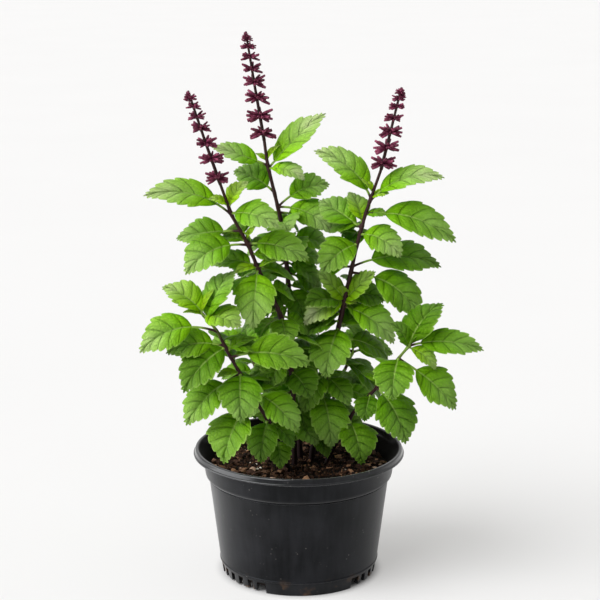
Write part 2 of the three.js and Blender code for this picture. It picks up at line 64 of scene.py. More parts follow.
# Colours: red, green, blue and alpha, linear. Leaves have two, for grown ones and young ones.
LEAF_TOP = ((0.088, 0.254, 0.002, 1), (0.27, 0.48, 0.003, 1))
LEAF_BACK = ((0.15, 0.35, 0.03, 1), (0.30, 0.50, 0.03, 1))
# Painted sheen on the blades, lighter towards their tips
LEAF_TOP_PAINTED_SHEEN = (0.62, 0.73, 0.36, 1)
LEAF_BACK_PAINTED_SHEEN = (0.30, 0.45, 0.15, 1)
# A pale midrib in its own colour, also used as a painted highlight along the blades' edges
LEAF_PALE_MIDRIB_AND_PAINTED_RIM = (0.42, 0.60, 0.15, 1)
LEAF_SHEEN = (0.80, 1.0, 0.18, 1)
LEAF_GLOW = (0.24, 0.60, 0.003, 1)
LEAF_GLOW_SHARE = 0.26
STALK_GREEN = (0.20, 0.34, 0.04, 1)
STALK_PURPLE = (0.034, 0.011, 0.011, 1)
CALYX_BASE = (0.118, 0.010, 0.040, 1)
CALYX_TIP = (0.26, 0.060, 0.110, 1)
BRACT_DULL = (0.30, 0.20, 0.16, 1)
CALYX_GLOW = (0.30, 0.04, 0.10, 1)
CALYX_GLOW_SHARE = 0.12
POT_CLEAN = (0.0014, 0.0015, 0.0020, 1)
POT_DUSTY = (0.0130, 0.0132, 0.0155, 1)
POT_SPECK = (0.15, 0.14, 0.13, 1)
POT_STAIN = (0.10, 0.055, 0.028, 1)
# The pot's inside: painted shade, as a darker colour and as a dark matt surface blended in
POT_INSIDE_PAINTED_SHADE = (0.0016, 0.0011, 0.0008, 1)
POT_INSIDE_MATT_SHADE = (0.0040, 0.0030, 0.0024, 1)
POT_SHEEN = (0.88, 0.94, 1.0, 1)

# Heights in metres: the stems' painted shade ends, the dirt on the pot's foot ends, and its smoother lip
# begins
SHADE_HEIGHTS = (0.080, 0.125)
DIRT_HEIGHTS = (0.001, 0.014)
LIP_HEIGHTS = (0.0868, 0.0876)

# The soil's mixes: a dark colour, a pale one, and the roughness
MIXES = {
    "soil_mix": ((0.0060, 0.0026, 0.0011, 1), (0.062, 0.027, 0.011, 1), 0.9),
    "bark": ((0.034, 0.011, 0.004, 1), (0.56, 0.30, 0.16, 1), 0.75),
    "perlite": ((0.50, 0.42, 0.32, 1), (0.85, 0.80, 0.70, 1), 0.9),
    "pebble": ((0.22, 0.105, 0.060, 1), (0.62, 0.41, 0.29, 1), 0.7),
}

# Pot
RIM = 75.0
POT_HEIGHT = 91.5
WALL = 1.4
LIP_DROP = 4.6
LIP_CREST_INSET = 2.2
LIP_DISH = 1.4
LIP_INNER_EDGE = 70.6
COLLAR_TOP = 68.5
COLLAR_FOOT = 66.3
COLLAR_FOOT_HEIGHT = 71.0
BODY_TOP = 64.0
BODY_FOOT = 56.5
BAND_HEIGHT = 10.0
BAND_LINE = 0.5
BASE = 54.8
FOOT_RING = 2.4
FLOOR_HEIGHT = 4.0
BUTTON = 18.0
POT_STEPS = 160
DRAIN_HOLES = 6
DRAIN_HOLE = 3.5
DRAIN_CIRCLE = 35.0
SLOT_GROUPS = 3
SLOTS_PER_GROUP = 6
SLOT_PITCH = 9.4
FIRST_SLOT = -45.0
SLOT_WIDTH = 4.4
END_SLOT_WIDTH = 7.0
SLOT_HEIGHT = 7.6
SLOT_DEPTH = 10.0
TOOTH_LIFT = 1.2  # the teeth between the slots stop this far above the ground
EDGE_ROUND = 0.25

# Soil
SOIL_HEIGHT = 77.0
SOIL_CROWN = 2.5
SOIL_REACH = 63.4
SOIL_BOTTOM = 5.7
SOIL_RINGS = 42
BUMP_LENGTH = 3.4
BUMP_RELIEF = 0.7
SWELL_LENGTH = 4.8
SWELL_RELIEF = 0.4
BED_SINK = 0.6  # the bed lies this far under the level that the grains lie at
BED_SCALE = 0.55
BED_RELIEF = 0.8
SOIL_SEED = 7
GRAIN_MARGIN = 1.2  # how far the grains' middles stay inside the soil's edge
STEM_CLEARANCE = 3.2
SMALL_SHARE = 2.2  # the greater this is, the fewer grains are large

# Loose grains on the soil: name, mix, roundness of the ball they are made from, count, least and greatest
# size, flatness, how deep they sink, how few of them are pale, and how far their points stand in and out
GRAINS = (
    ("soil_crumbs", "soil_mix", 1, 3600, (1.0, 3.6), (0.45, 0.9), 0.25, 1.0, (0.55, 1.3)),
    ("bark_chips", "bark", 1, 520, (2.0, 9.5), (0.14, 0.34), 0.25, 2.2, (0.55, 1.3)),
    ("perlite_beads", "perlite", 1, 46, (1.2, 3.8), (0.5, 0.8), 0.2, 1.0, (0.55, 1.3)),
    ("soil_pebbles", "pebble", 2, 20, (2.4, 5.8), (0.4, 0.65), 0.2, 1.0, (0.74, 1.22)),
)

# Foliage
BOW = 0.1  # how far a leaf bows upwards, as a share of its length
STEM_FOOT = 56.0
LATERALS = 6  # side veins on each half of a blade
VEIN_LEAN = 0.22  # how far the side veins run forward, as a share of the blade's length
VEIN_STAGGER = 0.06  # how far the two halves' side veins are out of step, as a share of their pitch
BLADE_SKEW = 0.76
BLADE_FULLNESS = 0.66
BLADE_THICKNESS = 0.3
LEAF_SEED = 100
BLADE_FOLDS = (0.45, 0.70)  # how steeply the two halves of a blade rise from its crease
BLADE_ARCHES = (0.10, 0.28)  # and by how much they flatten towards the edge
BLADE_SWEEP = 0.05  # how far a blade curves sideways, as a share of its length
BLADE_DROOPS = (-0.01, 0.06)
BLADE_TWIST = 0.20
TEETH = 6
TOOTH_START = 0.14
TOOTH_END = 0.87
TOOTH_SIZE = 0.085  # as a share of the blade's width
TOOTH_SPREAD = (0.65, 1.35)  # the least and greatest size of a single tooth beside that
TOOTH_ROWS = ((0.12, 0.28), (0.36, 0.62), (0.60, 0.86), (0.80, 1.0), (0.94, 0.86), (1.0, 0.0))
PUCKER = 0.048
EDGE_WAVE = 0.07
PETIOLE_WIDTHS = (1.1, 1.7)
PETIOLE_SHARE = 0.1
RIB_END = 0.90  # how far the midrib runs along the blade's underside
SMALL_LEAF = 12  # leaves up to this width are leaflets, with fewer side veins
SMALL_LATERALS = 4
STEM_SLIM = 0.84
BLADE_REACH = 1.02  # a blade runs a little past its leaf's tip, to make up for its bend
STEM_SWELLING = 0.22  # how much thicker a stem is at a joint
TOP_LIGHT = 0.30  # leaves near the top of the plant are lighter by this much
TOP_HEIGHTS = (205.0, 275.0)

# Inner leaves: where they start above the soil, and how far under the stem's end and what height they stop
INNER_START = 22
INNER_END = 12
INNER_TOP = 262.0
INNER_LENGTHS = (22, 36)
INNER_STEPS = (6, 9)
# An inner leaf's rise, its width as a share of its length, its petiole's share, its roll and its bow
INNER_RANGES = ((-20, 4), (0.60, 0.74), (0.1, 0.22), (0, 30), (0.06, 0.12))
INNER_SPREAD = ((95, 42), (120, 52), (160, 66), (200, 60), (240, 52), (260, 40))  # height, half width
INNER_FRONT = -22.0
INNER_BACK = 48.0
INNER_GAP = 5.0

# Flower spikes: each cluster's calyces by their turn from its middle, and their least and greatest rise, in
# degrees. RISE_SHARE and YOUNG_RISE then flatten the rise, and raise it towards the spike's tip.
CLUSTER = (
    (-58, -20, 0), (58, -20, 0), (-30, -10, 12), (32, -10, 12), (0, -30, -16), (4, 18, 34), (-44, 16, 34),
    (42, 16, 34), (-82, -16, 24), (80, -16, 24), (-18, -34, -16), (24, -36, -18), (-70, 10, 40),
    (66, 10, 40),
)
RISE_SHARE = 0.80
YOUNG_RISE = 6
SPIKE_RADII = (1.12, 0.62)
CALYX_STEPS = 6
CALYX_PROFILE = (  # height and radius
    (0, 0.05), (0.12, 0.085), (0.28, 0.120), (0.44, 0.118), (0.56, 0.098), (0.53, 0.070), (0.46, 0.025),
)
CALYX_LOBES = {4: (0.44, 0.032), 5: (0.40, 0.026)}  # how far a lobe's two faces run on, and draw in
CALYX_LENGTHS = (0.68, 1.20)  # as shares of the whorl's reach
CALYX_START = 0.12
BRACT_LENGTH = 0.28
BRACT_THICKNESS = 0.25
TIP_BUDS = 30
TIP_DEPTH = 7.2  # how far under the axis's end the buds begin, and how far up they climb
TIP_CLIMB = 4.0
BUD_RISES = (10, 72)  # degrees: the lowest bud's rise, and how much more the last one has
BUD_LENGTH = 3.9
BUD_START = 0.3
BUD_TURN = 2.4

# Each stem has its radii at foot and top, its path above the soil, and its leaves: the height of a
# leaf's node, its reach from there to its tip, the blade's width, the petiole's share of the reach, the
# blade's roll to the front in degrees, and its bow where that isn't BOW. looks has a letter for each leaf,
# as LOOKS says. A spike has its axis, and its whorls as height and reach.
STEMS = [{
    "name": "left_stem",
    "radii": (2.3, 1.1),
    "path": [
        (-3, -8, 82), (-4, -12, 140), (-9, -20, 181), (-15, -22, 199), (-28, -24, 226), (-34, -25, 242),
        (-45, -26, 262), (-52.5, -28, 284),
    ],
    "looks": "lmyymmymmyblddmmmmmmmmydmmd",
    "leaves": [
        (263, -56.5, -12, 14, 19, 0.2, 50, 0.14), (264, 32, -18, -6, 20, 0.08, 40),
        (269, -13, -4, 6, 12, 0.1, 20), (268, 13, 3, 17, 15, 0.1, 20),
        (252, -44.5, 10, -7, 20, 0.26, 40, 0.03), (242, -41, -14, -17.5, 27, 0.25, 35, 0.16),
        (245, 9, 3, 12, 9, 0.1, 0), (243, 40, -14, -9, 21, 0.15, 45), (227, -32, 10, 0, 16, 0.15, 35),
        (226, -15, -10, -1, 8, 0.1, 20), (226, 16, -5, 8, 10, 0.1, 20), (226, -2, -22, -37, 25.5, 0.12, 0),
        (196, -27, 8, -18, 22, 0.12, 20), (178, -18, 16, -31, 18, 0.2, 10),
        (112, 16, -14, -12, 20, 0.1, 15), (212, 18, 14, -12, 19, 0.2, 30), (192, 20, 8, -16, 19, 0.2, 30),
        (160, -16, -12, -18, 19, 0.2, 20), (124, -16, -8, -16, 18, 0.2, 20), (242, 6, 34, -8, 18, 0.2, 0),
        (226, -12, 32, -12, 18, 0.2, 0), (190, -16, 26, -20, 18, 0.2, 0), (252, 7, 2, -8, 8, 0.1, 0),
        (244, -20, 8, 1, 14, 0.15, 20), (236, 16, -2, -6, 13, 0.1, 20), (190, 4, -17, -15, 18, 0.08, 0),
        (150, 13, -17, -14, 22, 0.1, 20),
    ],
    "spike": {
        "name": "left_spike",
        "path": [(-52.5, -28, 284), (-62.5, -30, 314), (-73, -32, 347)],
        "whorls": [
            (288.5, 8.8), (301.5, 8.8), (312, 8.2), (322, 7.4), (329.5, 6.4), (336.5, 5.4), (342, 4.6),
        ],
    },
}, {
    "name": "centre_stem",
    "radii": (2.5, 1.2),
    "path": [
        (1, 8, 82), (-2, 10, 137), (-6, 12, 181), (-8, 14, 216), (-13, 16, 254), (-19, 18, 279),
        (-22, 18, 292), (-24, 20, 307),
    ],
    "looks": "plpyymmlmlmllllmmmmmmmmllmldd",
    "leaves": [
        (288, 38.5, 8, 38, 23, 0.12, 30, 0.03), (290, -38, -6, 13, 17, 0.2, 40, 0.03),
        (288, 25, -10, -6, 17, 0.08, 20), (294, 9, 4, 10, 6, 0.1, 10), (293, -8, 4, 5, 6, 0.1, 10),
        (271, -28, 4, 15, 26, 0.2, 35, 0.08), (261, 36, 6, 16, 21, 0.28, 40),
        (261, 38, -12, -16, 21, 0.2, 40, 0.13), (254, 13, 8, -13, 18, 0.08, 20),
        (238, 34, 10, -8, 20, 0.25, 35), (222, -18, 20, -26, 18, 0.2, 0), (203, 12, -10, -21, 19, 0.1, 30),
        (184, 22, 8, -18, 17, 0.15, 20), (228, 27, 12, -8, 20, 0.2, 35), (214, 25, 4, -16, 20, 0.2, 35),
        (196, -16, 14, -16, 19, 0.2, 35), (166, 16, -18, -14, 19, 0.15, 10),
        (158, -15, -16, -16, 19, 0.15, 10), (130, -14, -14, -16, 19, 0.15, 20),
        (254, -6, 32, -14, 18, 0.2, 0), (238, 12, 32, -14, 19, 0.2, 0), (216, -12, 30, -14, 18, 0.2, 0),
        (184, 12, 30, -12, 18, 0.2, 0), (222, 23, -6, -16, 20, 0.12, 15), (206, 20, 4, -12, 19, 0.12, 10),
        (192, -13, -4, -22, 18, 0.1, 10), (226, 15, 4, -16, 18, 0.12, 15),
        (152, -12, -23, -12, 22, 0.1, 20), (124, 6, -30, -18, 19, 0.1, 0),
    ],
    "spike": {
        "name": "centre_spike",
        "path": [(-24, 20, 307), (-30.5, 22, 345), (-36.5, 24, 382)],
        "whorls": [
            (312.5, 9.6), (324.5, 10), (337, 9.6), (347.5, 8.8), (356.5, 7.8), (364.5, 7), (371.5, 5.6),
            (377.5, 4.4),
        ],
    },
}, {
    "name": "right_stem",
    "radii": (2.4, 1.1),
    "path": [
        (9, 2, 82), (15, 0, 125), (24, -2, 162), (29, -4, 185), (32, -6, 200), (36, -6, 219),
        (40, -6, 238), (46, -6, 261), (56, -8, 291),
    ],
    "looks": "llyymmbmlmdmbbvmyylmddmmdmlmmmmmmdbddm",
    "leaves": [
        (271, -38, 8, 32, 22.5, 0.12, 35, 0.13), (269, 49.5, -8, 19.5, 17, 0.17, 40, 0.13),
        (275, -9, 2, 10, 10, 0.1, 10), (271, 12, -3, 4, 11, 0.1, 20),
        (260, 62, -12, -15, 23, 0.2, 45, 0.1), (259, 15, -3, 1, 11, 0.1, 20),
        (252, -8, 12, 22, 16, 0.15, 0), (250, -28, 16, 17, 25, 0.2, 30, 0.02),
        (246, 27.5, -12, -13.5, 21.5, 0.08, 35, 0.14), (239, -25, -14, -17, 24, 0.05, 30),
        (223, 62, 8, -2, 25.5, 0.22, 40, 0.12), (219, 48, -8, -30, 27, 0.28, 40, 0.14),
        (200, -19, -8, 21, 16, 0.03, 55, 0.02), (199, 20, -9, 22, 17, 0.03, 55, 0.02),
        (197, -27, -10, -13, 17, 0.06, 40, 0.13), (198, 25, 14, -4, 15, 0.2, 10),
        (199, 8, -5, -1, 6, 0.05, 40), (196, -1, -6, 15, 9, 0.03, 0), (195, 35, -10, -24, 23, 0.16, 35),
        (179, -9, -22, -30, 28, 0.05, 0), (171, 38, 10, -17, 20, 0.28, 35),
        (158, 36, 5, -34, 25, 0.25, 25), (146, -17, -14, -25, 24, 0.1, 10),
        (131, 7, -24, -33, 26, 0.12, 0), (100, 8, -18, -12, 13, 0.1, 0), (223, -24, 14, -12, 20, 0.2, 35),
        (204, -22, 14, -16, 20, 0.2, 35), (188, -22, 18, -6, 20, 0.2, 35), (246, -4, 34, -12, 18, 0.2, 0),
        (214, 8, 34, -14, 18, 0.2, 0), (200, 0, 30, -14, 18, 0.2, 0), (179, 14, 30, -12, 18, 0.2, 0),
        (190, -21, 0, -16, 20, 0.1, 15), (197, 17, 6, -18, 19, 0.08, 40), (200, -17, -2, -17, 20, 0.1, 15),
        (203, 27, 6, -5, 20, 0.1, 45), (184, -27, -8, -10, 20, 0.1, 15), (252, -24, 16, -6, 16, 0.15, 40),
    ],
    "spike": {
        "name": "right_spike",
        "path": [(56, -8, 291), (62.5, -9, 319), (69, -10, 347)],
        "whorls": [
            (295.5, 9.8), (306.5, 9.4), (317, 8.6), (326, 6.8), (334, 5.8), (339.5, 5.2), (343.5, 4.4),
        ],
    },
}, {
    "name": "low_left_stem",
    "radii": (2, 1),
    "path": [
        (-8, -18, 82), (-19, -30, 116), (-30, -42, 138), (-39, -48, 157), (-47, -50, 172), (-55, -50, 189),
        (-65, -48, 200),
    ],
    "looks": "lmdmmmbmlbyybmmdddm",
    "leaves": [
        (188, -51, -8, -12, 23, 0.3, 50, 0.17), (178, -39, -2, -4, 20, 0.2, 45),
        (177, -26, -16, -27, 26, 0.05, 30), (158, -35, -14, -32, 25, 0.26, 30),
        (158, 0, -22, -27, 26.5, 0.05, 0), (139, -21, -26, -37, 32, 0.28, 0),
        (159, -15, -6, -1, 7, 0.1, 20), (170, 53, -10, -2, 24, 0.22, 45), (196, 18.5, 14, 30, 26, 0.05, 0),
        (198, -28, 8, 19.5, 22, 0.12, 25), (200, 8, 5, 16, 7, 0.1, 0), (199, -13, -4, 3, 5, 0.1, 20),
        (198, 24.5, -14, -4, 23, 0.06, 20), (174, 19, 4, 9, 9, 0.1, 20), (146, 33, -14, -26, 23, 0.25, 25),
        (121, -5, -18, -25, 21, 0.1, 0), (104, 3, -18, -15, 15, 0.08, 0), (118, 16, -6, -16, 18, 0.1, 10),
        (176, 24, 8, -2, 19, 0.12, 20),
    ],
}, {
    "name": "low_right_stem",
    "radii": (2, 1),
    "path": [(20, -4, 82), (38, -8, 118), (54, -23, 141), (68, -34, 165), (76, -34, 175)],
    "looks": "dmmmbmmmddd",
    "leaves": [
        (174, 22, 12, 27, 28.5, 0.08, 10), (174, 50, -6, -0.5, 18, 0.16, 50, 0.08),
        (174, 13, 8, 7, 7, 0.1, 10), (173, -12, -4, 18, 14, 0.04, 50), (173, 19, -8, -13, 14, 0.1, 20),
        (165, -6, -18, -24, 26, 0.05, 0), (165, 40, -12, -31, 25, 0.28, 35, 0.04),
        (141, 20, -18, -34, 30, 0.14, 15), (113, 9, -23, -25, 25, 0.1, 0), (135, -4, -14, -15, 16, 0.1, 0),
        (174, 12, 2, 12, 9, 0.1, 0),
    ],
}, {
    "name": "back_left_stem",
    "radii": (2, 1),
    "path": [(-11, 12, 82), (-18, 22, 105), (-28, 34, 130), (-37, 42, 152)],
    "looks": "mmmmmmmmm",
    "leaves": [
        (151, -30, 8, 2, 20, 0.15, 35), (151, 30, 6, 8, 20, 0.15, 35), (150, -4, 22, 14, 17, 0.15, 0),
        (140, -8, 32, -8, 20, 0.2, 0), (140, 10, -24, -14, 20, 0.15, 0), (126, -30, 8, -14, 20, 0.2, 35),
        (126, 22, -6, -14, 20, 0.2, 35), (110, -12, 32, -16, 20, 0.2, 0), (110, 26, -2, -14, 20, 0.2, 35),
    ],
}, {
    "name": "back_right_stem",
    "radii": (2, 1),
    "path": [(12, 14, 82), (20, 22, 105), (30, 34, 130), (40, 43, 150)],
    "looks": "mmmmmmmmm",
    "leaves": [
        (149, 30, 6, -2, 20, 0.15, 35), (149, -30, 4, 6, 20, 0.15, 35), (148, 6, 22, 14, 17, 0.15, 0),
        (138, 10, 32, -8, 20, 0.2, 0), (138, -10, -24, -14, 20, 0.15, 0), (124, 30, 6, -14, 20, 0.2, 35),
        (124, -24, 8, -12, 20, 0.2, 35), (108, 12, 32, -16, 20, 0.2, 0), (108, 26, 0, -14, 20, 0.2, 35),
    ],
}]

# The look of a leaf: how young it is, and how light. The lightness is painted light and shade, leaf by
# leaf: d paints a leaf as in shade, and p and v paint one as brightly lit.
LOOKS = {
    "m": (0.08, 0.5), "d": (0.0, 0.28), "l": (0.15, 0.8), "p": (0.28, 1.0),
    "b": (0.5, 0.75), "y": (0.9, 0.65), "v": (0.92, 1.45),
}


# ---------------------------------------------------------------- small tools

def deselect():
    bpy.ops.object.select_all(action="DESELECT")


def only(piece):
    """Selects one object and nothing else."""
    deselect()
    piece.select_set(True)
    bpy.context.view_layer.objects.active = piece


def fresh(name):
    """Names the object that an operator has just added."""
    piece = bpy.context.object
    piece.name = piece.data.name = name
    return piece


def finished(piece, kind, **settings):
    """Adds a modifier and applies it."""
    only(piece)
    modifier = piece.modifiers.new(kind.title(), kind)
    for setting, value in settings.items():
        setattr(modifier, setting, value)
    bpy.ops.object.modifier_apply(modifier=modifier.name)


def smoothed(piece, degrees):
    only(piece)
    bpy.ops.object.shade_smooth_by_angle(angle=math.radians(degrees))


def points_of(piece):
    points = np.empty(3 * len(piece.data.vertices))
    piece.data.vertices.foreach_get("co", points)
    return points.reshape(-1, 3)


def place_points(piece, points):
    piece.data.vertices.foreach_set("co", np.asarray(points, dtype=float).ravel())
    piece.data.update()


def step(low, high, value):
    """A smooth step from 0 at low to 1 at high."""
    share = np.clip((value - low) / (high - low), 0, 1)
    return share * share * (3 - 2 * share)


def unit(vectors):
    return vectors / np.linalg.norm(vectors, axis=-1, keepdims=True)


def unit_sheet(name, columns, rows, laterals):
    """A flat sheet to model a blade from: X is -1 to 1 across it and Y is 0 to 1 along it, with narrower
    columns at its middle and edges, and rows at the places given. Its UV map counts the side veins
    along Y."""
    deselect()
    bpy.ops.mesh.primitive_grid_add(x_subdivisions=columns, y_subdivisions=len(rows) - 1, size=2)
    sheet = fresh(name)
    points = points_of(sheet)
    across = points[:, 0]
    points[:, 0] = np.sign(across) * (1 - np.cos(np.pi * np.abs(across))) / 2
    even = np.linspace(0, 1, len(rows))
    points[:, 1] = np.interp((points[:, 1] + 1) / 2, even, rows)
    place_points(sheet, points)
    corners = np.empty(len(sheet.data.loops), dtype=int)
    sheet.data.loops.foreach_get("vertex_index", corners)
    places = points[corners][:, :2] * (0.5, laterals / LATERALS) + (0.5, 0)
    sheet.data.uv_layers[0].data.foreach_set("uv", places.ravel())
    return sheet


def tooth_rows(plain, tip):
    """Where a blade's rows lie along it: an even foot, the teeth and the tip."""
    pitch = (TOOTH_END - TOOTH_START) / TEETH
    foot = [TOOTH_START * row / plain for row in range(plain + 1)]
    teeth = [TOOTH_START + (tooth + place) * pitch for tooth in range(TEETH) for place, _ in TOOTH_ROWS]
    end = [TOOTH_END + (1 - TOOTH_END) * (row + 1) / tip for row in range(tip)]
    return foot + teeth + end


def unit_tube(name, sides, rings):
    """A closed tube of radius 1 along Z from 0 to 1, cut into rings."""
    deselect()
    bpy.ops.mesh.primitive_cylinder_add(vertices=sides, radius=1, depth=1, location=(0, 0, 0.5))
    tube = fresh(name)
    bpy.ops.object.transform_apply(location=True)
    tube.data.polygons.foreach_set("select", [False] * len(tube.data.polygons))
    tube.data.vertices.foreach_set("select", [False] * len(tube.data.vertices))
    for edge in tube.data.edges:
        low, high = (tube.data.vertices[index].co for index in edge.vertices)
        edge.select = abs(low.z - high.z) > 0.5
    bpy.ops.object.mode_set(mode="EDIT")
    bpy.ops.mesh.select_mode(type="EDGE")
    bpy.ops.mesh.subdivide(number_cuts=rings - 1)
    bpy.ops.object.mode_set(mode="OBJECT")
    return tube


def gathered(name, master, copies, looks):
    """One object of many copies of a master, each with its own points and its own look."""
    count = len(master.data.vertices)
    faces = [tuple(polygon.vertices) for polygon in master.data.polygons]
    everywhere = [
        tuple(corner + number * count for corner in face)
        for number in range(len(copies)) for face in faces
    ]
    mesh = bpy.data.meshes.new(name)
    mesh.from_pydata((np.concatenate(copies) * MM).tolist(), [], everywhere)
    places = np.empty(2 * len(master.data.loops))
    master.data.uv_layers[0].data.foreach_get("uv", places)
    mesh.uv_layers.new(name="UVMap").data.foreach_set("uv", np.tile(places, len(copies)))
    colours = np.concatenate([np.broadcast_to(look, (count, 4)) for look in looks])
    mesh.color_attributes.new("look", "FLOAT_COLOR", "POINT").data.foreach_set("color", colours.ravel())
    piece = bpy.data.objects.new(name, mesh)
    bpy.context.scene.collection.objects.link(piece)
    return piece


def dressed(piece, *finishes):
    piece.data.materials.clear()
    for finish in finishes:
        piece.data.materials.append(finish)


def placed(piece, slot, *nodes):
    """Attaches a finished piece to the root and hides the CAD nodes that it stands for. Its slot is not
    used.
    """
    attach(piece, "root")
    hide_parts(*nodes)


# ---------------------------------------------------------------- materials

class Value:
    """A socket of a finish's nodes. Sums and products of values add their Math nodes."""

    def __init__(self, finish, node, output=0):
        self.finish = finish
        self.node = node
        self.socket = node.outputs[output]

    def out(self, output):
        return Value(self.finish, self.node, output)

    def math(self, operation, *others):
        return self.finish.math(operation, self, *others)

    def __add__(self, other):
        return self.math("ADD", other)

    def __sub__(self, other):
        return self.math("SUBTRACT", other)

    def __rsub__(self, other):
        return self.finish.math("SUBTRACT", other, self)

    def __mul__(self, other):
        return self.math("MULTIPLY", other)

    __radd__ = __add__


class Finish:
    """The nodes of a procedural material, or of the world. node() adds any node."""

    def __init__(self, owner):
        self.owner = owner
        owner.use_nodes = True
        self.tree = owner.node_tree
        self.tree.nodes.clear()

    def node(self, kind, settings=None, values=None, output=0):
        node = self.tree.nodes.new("ShaderNode" + kind)
        for setting, value in (settings or {}).items():
            setattr(node, setting, value)
        for socket, value in (values or {}).items():
            if isinstance(value, Value):
                self.tree.links.new(value.socket, node.inputs[socket])
            else:
                node.inputs[socket].default_value = value
        return Value(self, node, output)

    def math(self, operation, *values):
        return self.node("Math", {"operation": operation}, dict(enumerate(values)))

    def object_place(self, stretch=(1, 1, 1)):
        place = self.node("TexCoord", output="Object")
        return self.node("Mapping", values={"Vector": place, "Scale": stretch})

    def noise(self, place, scale, detail=3.0):
        values = {"Vector": place, "Scale": scale, "Detail": detail}
        return self.node("TexNoise", values=values, output="Fac")

    def cells(self, place, scale, feature="F1"):
        return self.node("TexVoronoi", {"feature": feature}, {"Vector": place, "Scale": scale}, "Distance")

    def smooth(self, value, low, high, start=0.0, end=1.0, kind="SMOOTHSTEP"):
        values = {"Value": value, "From Min": low, "From Max": high, "To Min": start, "To Max": end}
        return self.node("MapRange", {"interpolation_type": kind}, values)

    def mix(self, factor, colour, other):
        return self.node("Mix", {"data_type": "RGBA"}, {0: factor, 6: colour, 7: other}, output=2)

    def lighter(self, colour, factor):
        if not isinstance(colour, Value):
            colour = colour[:3]
        return self.node("VectorMath", {"operation": "SCALE"}, {0: colour, "Scale": factor})

    def look(self):
        """The copy's own look: youth or share along it, lightness, and a random number."""
        colour = self.node("Attribute", {"attribute_name": "look"}, output="Color")
        return self.node("SeparateColor", values={0: colour})

    def facing_out(self, place):
        """How squarely the surface looks away from the upright axis: 1 outwards, -1 towards it."""
        flat = self.node("VectorMath", {"operation": "MULTIPLY"}, {0: place, 1: (1, 1, 0)})
        outward = self.node("VectorMath", {"operation": "NORMALIZE"}, {0: flat})
        normal = self.node("NewGeometry", output="Normal")
        return self.node("VectorMath", {"operation": "DOT_PRODUCT"}, {0: outward, 1: normal}, "Value")

    def bump(self, height, distance, strength):
        return self.node("Bump", values={"Height": height, "Distance": distance, "Strength": strength})

    def surface(self, colour, roughness, specular, **more):
        """A plain surface. Any more of its inputs are named with _ for a space."""
        values = {"Base Color": colour, "Roughness": roughness, "Specular IOR Level": specular}
        values.update((socket.replace("_", " "), value) for socket, value in more.items())
        return self.node("BsdfPrincipled", values=values)

    def blend(self, share, surface, other):
        return self.node("MixShader", values={0: share, 1: surface, 2: other})

    def done(self, surface, output="OutputMaterial"):
        node = self.tree.nodes.new("ShaderNode" + output)
        self.tree.links.new(surface.socket, node.inputs["Surface"])
        return self.owner


def material(name):
    return Finish(bpy.data.materials.new(name))


def leaf_finish(name, upper):
    """Leaf: sunken side veins that curve forward, with painted shade along them on the upper side, a pale
    midrib, a fine net of veins between, painted light and shade from each leaf's look, a painted sheen
    that grows lighter towards the tip, a painted highlight along the edge, and a greenish sheen."""
    finish = material(name)
    place = finish.node("UVMap", {"uv_map": "UVMap"})
    spread = finish.node("SeparateXYZ", values={0: place})
    across = spread * 2 - 1
    along = spread.out(1)
    side = across.math("ABSOLUTE")
    look = finish.look()
    youth, light = look, look.out(1)

    phase = along * LATERALS + across.math("SIGN") * VEIN_STAGGER
    near = (phase.math("FRACT") - 0.5).math("ABSOLUTE") * 2
    lateral = finish.smooth(near, 0.84, 0.97) * (1 - side * 0.6) * finish.smooth(along, 0.96, 0.80)
    midrib = 1 - finish.smooth(side, 0.02, 0.07)
    painted_rim_highlight = finish.smooth(side, 0.93, 1.0)
    net_place = finish.node("CombineXYZ", values={0: across * 5, 1: along * 15, 2: look.out(2) * 9})
    net = 1 - finish.smooth(finish.cells(net_place, 1.0, "DISTANCE_TO_EDGE"), 0.0, 0.18)
    body = finish.object_place()
    patches = finish.noise(body, 85.0)
    grain = finish.noise(body, 900.0, 2.0)

    # Side veins: on the upper side they are painted darker as shade in their grooves; on the underside they
    # are paler in their own colour.
    if upper:
        colour = finish.mix(youth, *LEAF_TOP)
        vein_tone_and_painted_shade, depth, painted_sheen = 0.40, 1.0, LEAF_TOP_PAINTED_SHEEN
    else:
        colour = finish.mix(youth, *LEAF_BACK)
        vein_tone_and_painted_shade, depth, painted_sheen = -0.15, -1.0, LEAF_BACK_PAINTED_SHEEN
    # Painted light and shade: each leaf's lightness from its look scales its colour, with random patches.
    tone_and_painted_light = (0.59 + light * 1.06) * (0.66 + patches * 0.68)
    tone_and_painted_light = tone_and_painted_light * (1 - lateral * vein_tone_and_painted_shade) * (1 - net * 0.13) * (0.80 + grain * 0.42)
    colour = finish.lighter(colour, tone_and_painted_light)
    # Painted sheen: lighter towards the tip, and more of it on lighter leaves.
    painted_sheen_share = finish.smooth(along, 0.1, 0.9) * (0.06 + light * light * 0.70) * patches * 1.7
    colour = finish.mix(painted_sheen_share, colour, painted_sheen)
    # A pale midrib in its own colour, and a painted highlight along the blade's edge.
    midrib_and_painted_rim = (midrib * (0.75 - along * 0.35)).math("MAXIMUM", painted_rim_highlight * 0.42)
    colour = finish.mix(midrib_and_painted_rim, colour, LEAF_PALE_MIDRIB_AND_PAINTED_RIM)
    height = (lateral * -1.0 + net * -0.26 + grain * 0.2) * depth
    surface = finish.surface(
        colour=colour,
        roughness=0.34 + patches * 0.12 + net * 0.10,
        specular=0.42,
        Specular_Tint=LEAF_SHEEN,
        Normal=finish.bump(height, 0.0009, 1.0),
    )
    glow = finish.node("BsdfTranslucent", values={"Color": LEAF_GLOW})
    return finish.done(finish.blend(LEAF_GLOW_SHARE, surface, glow))


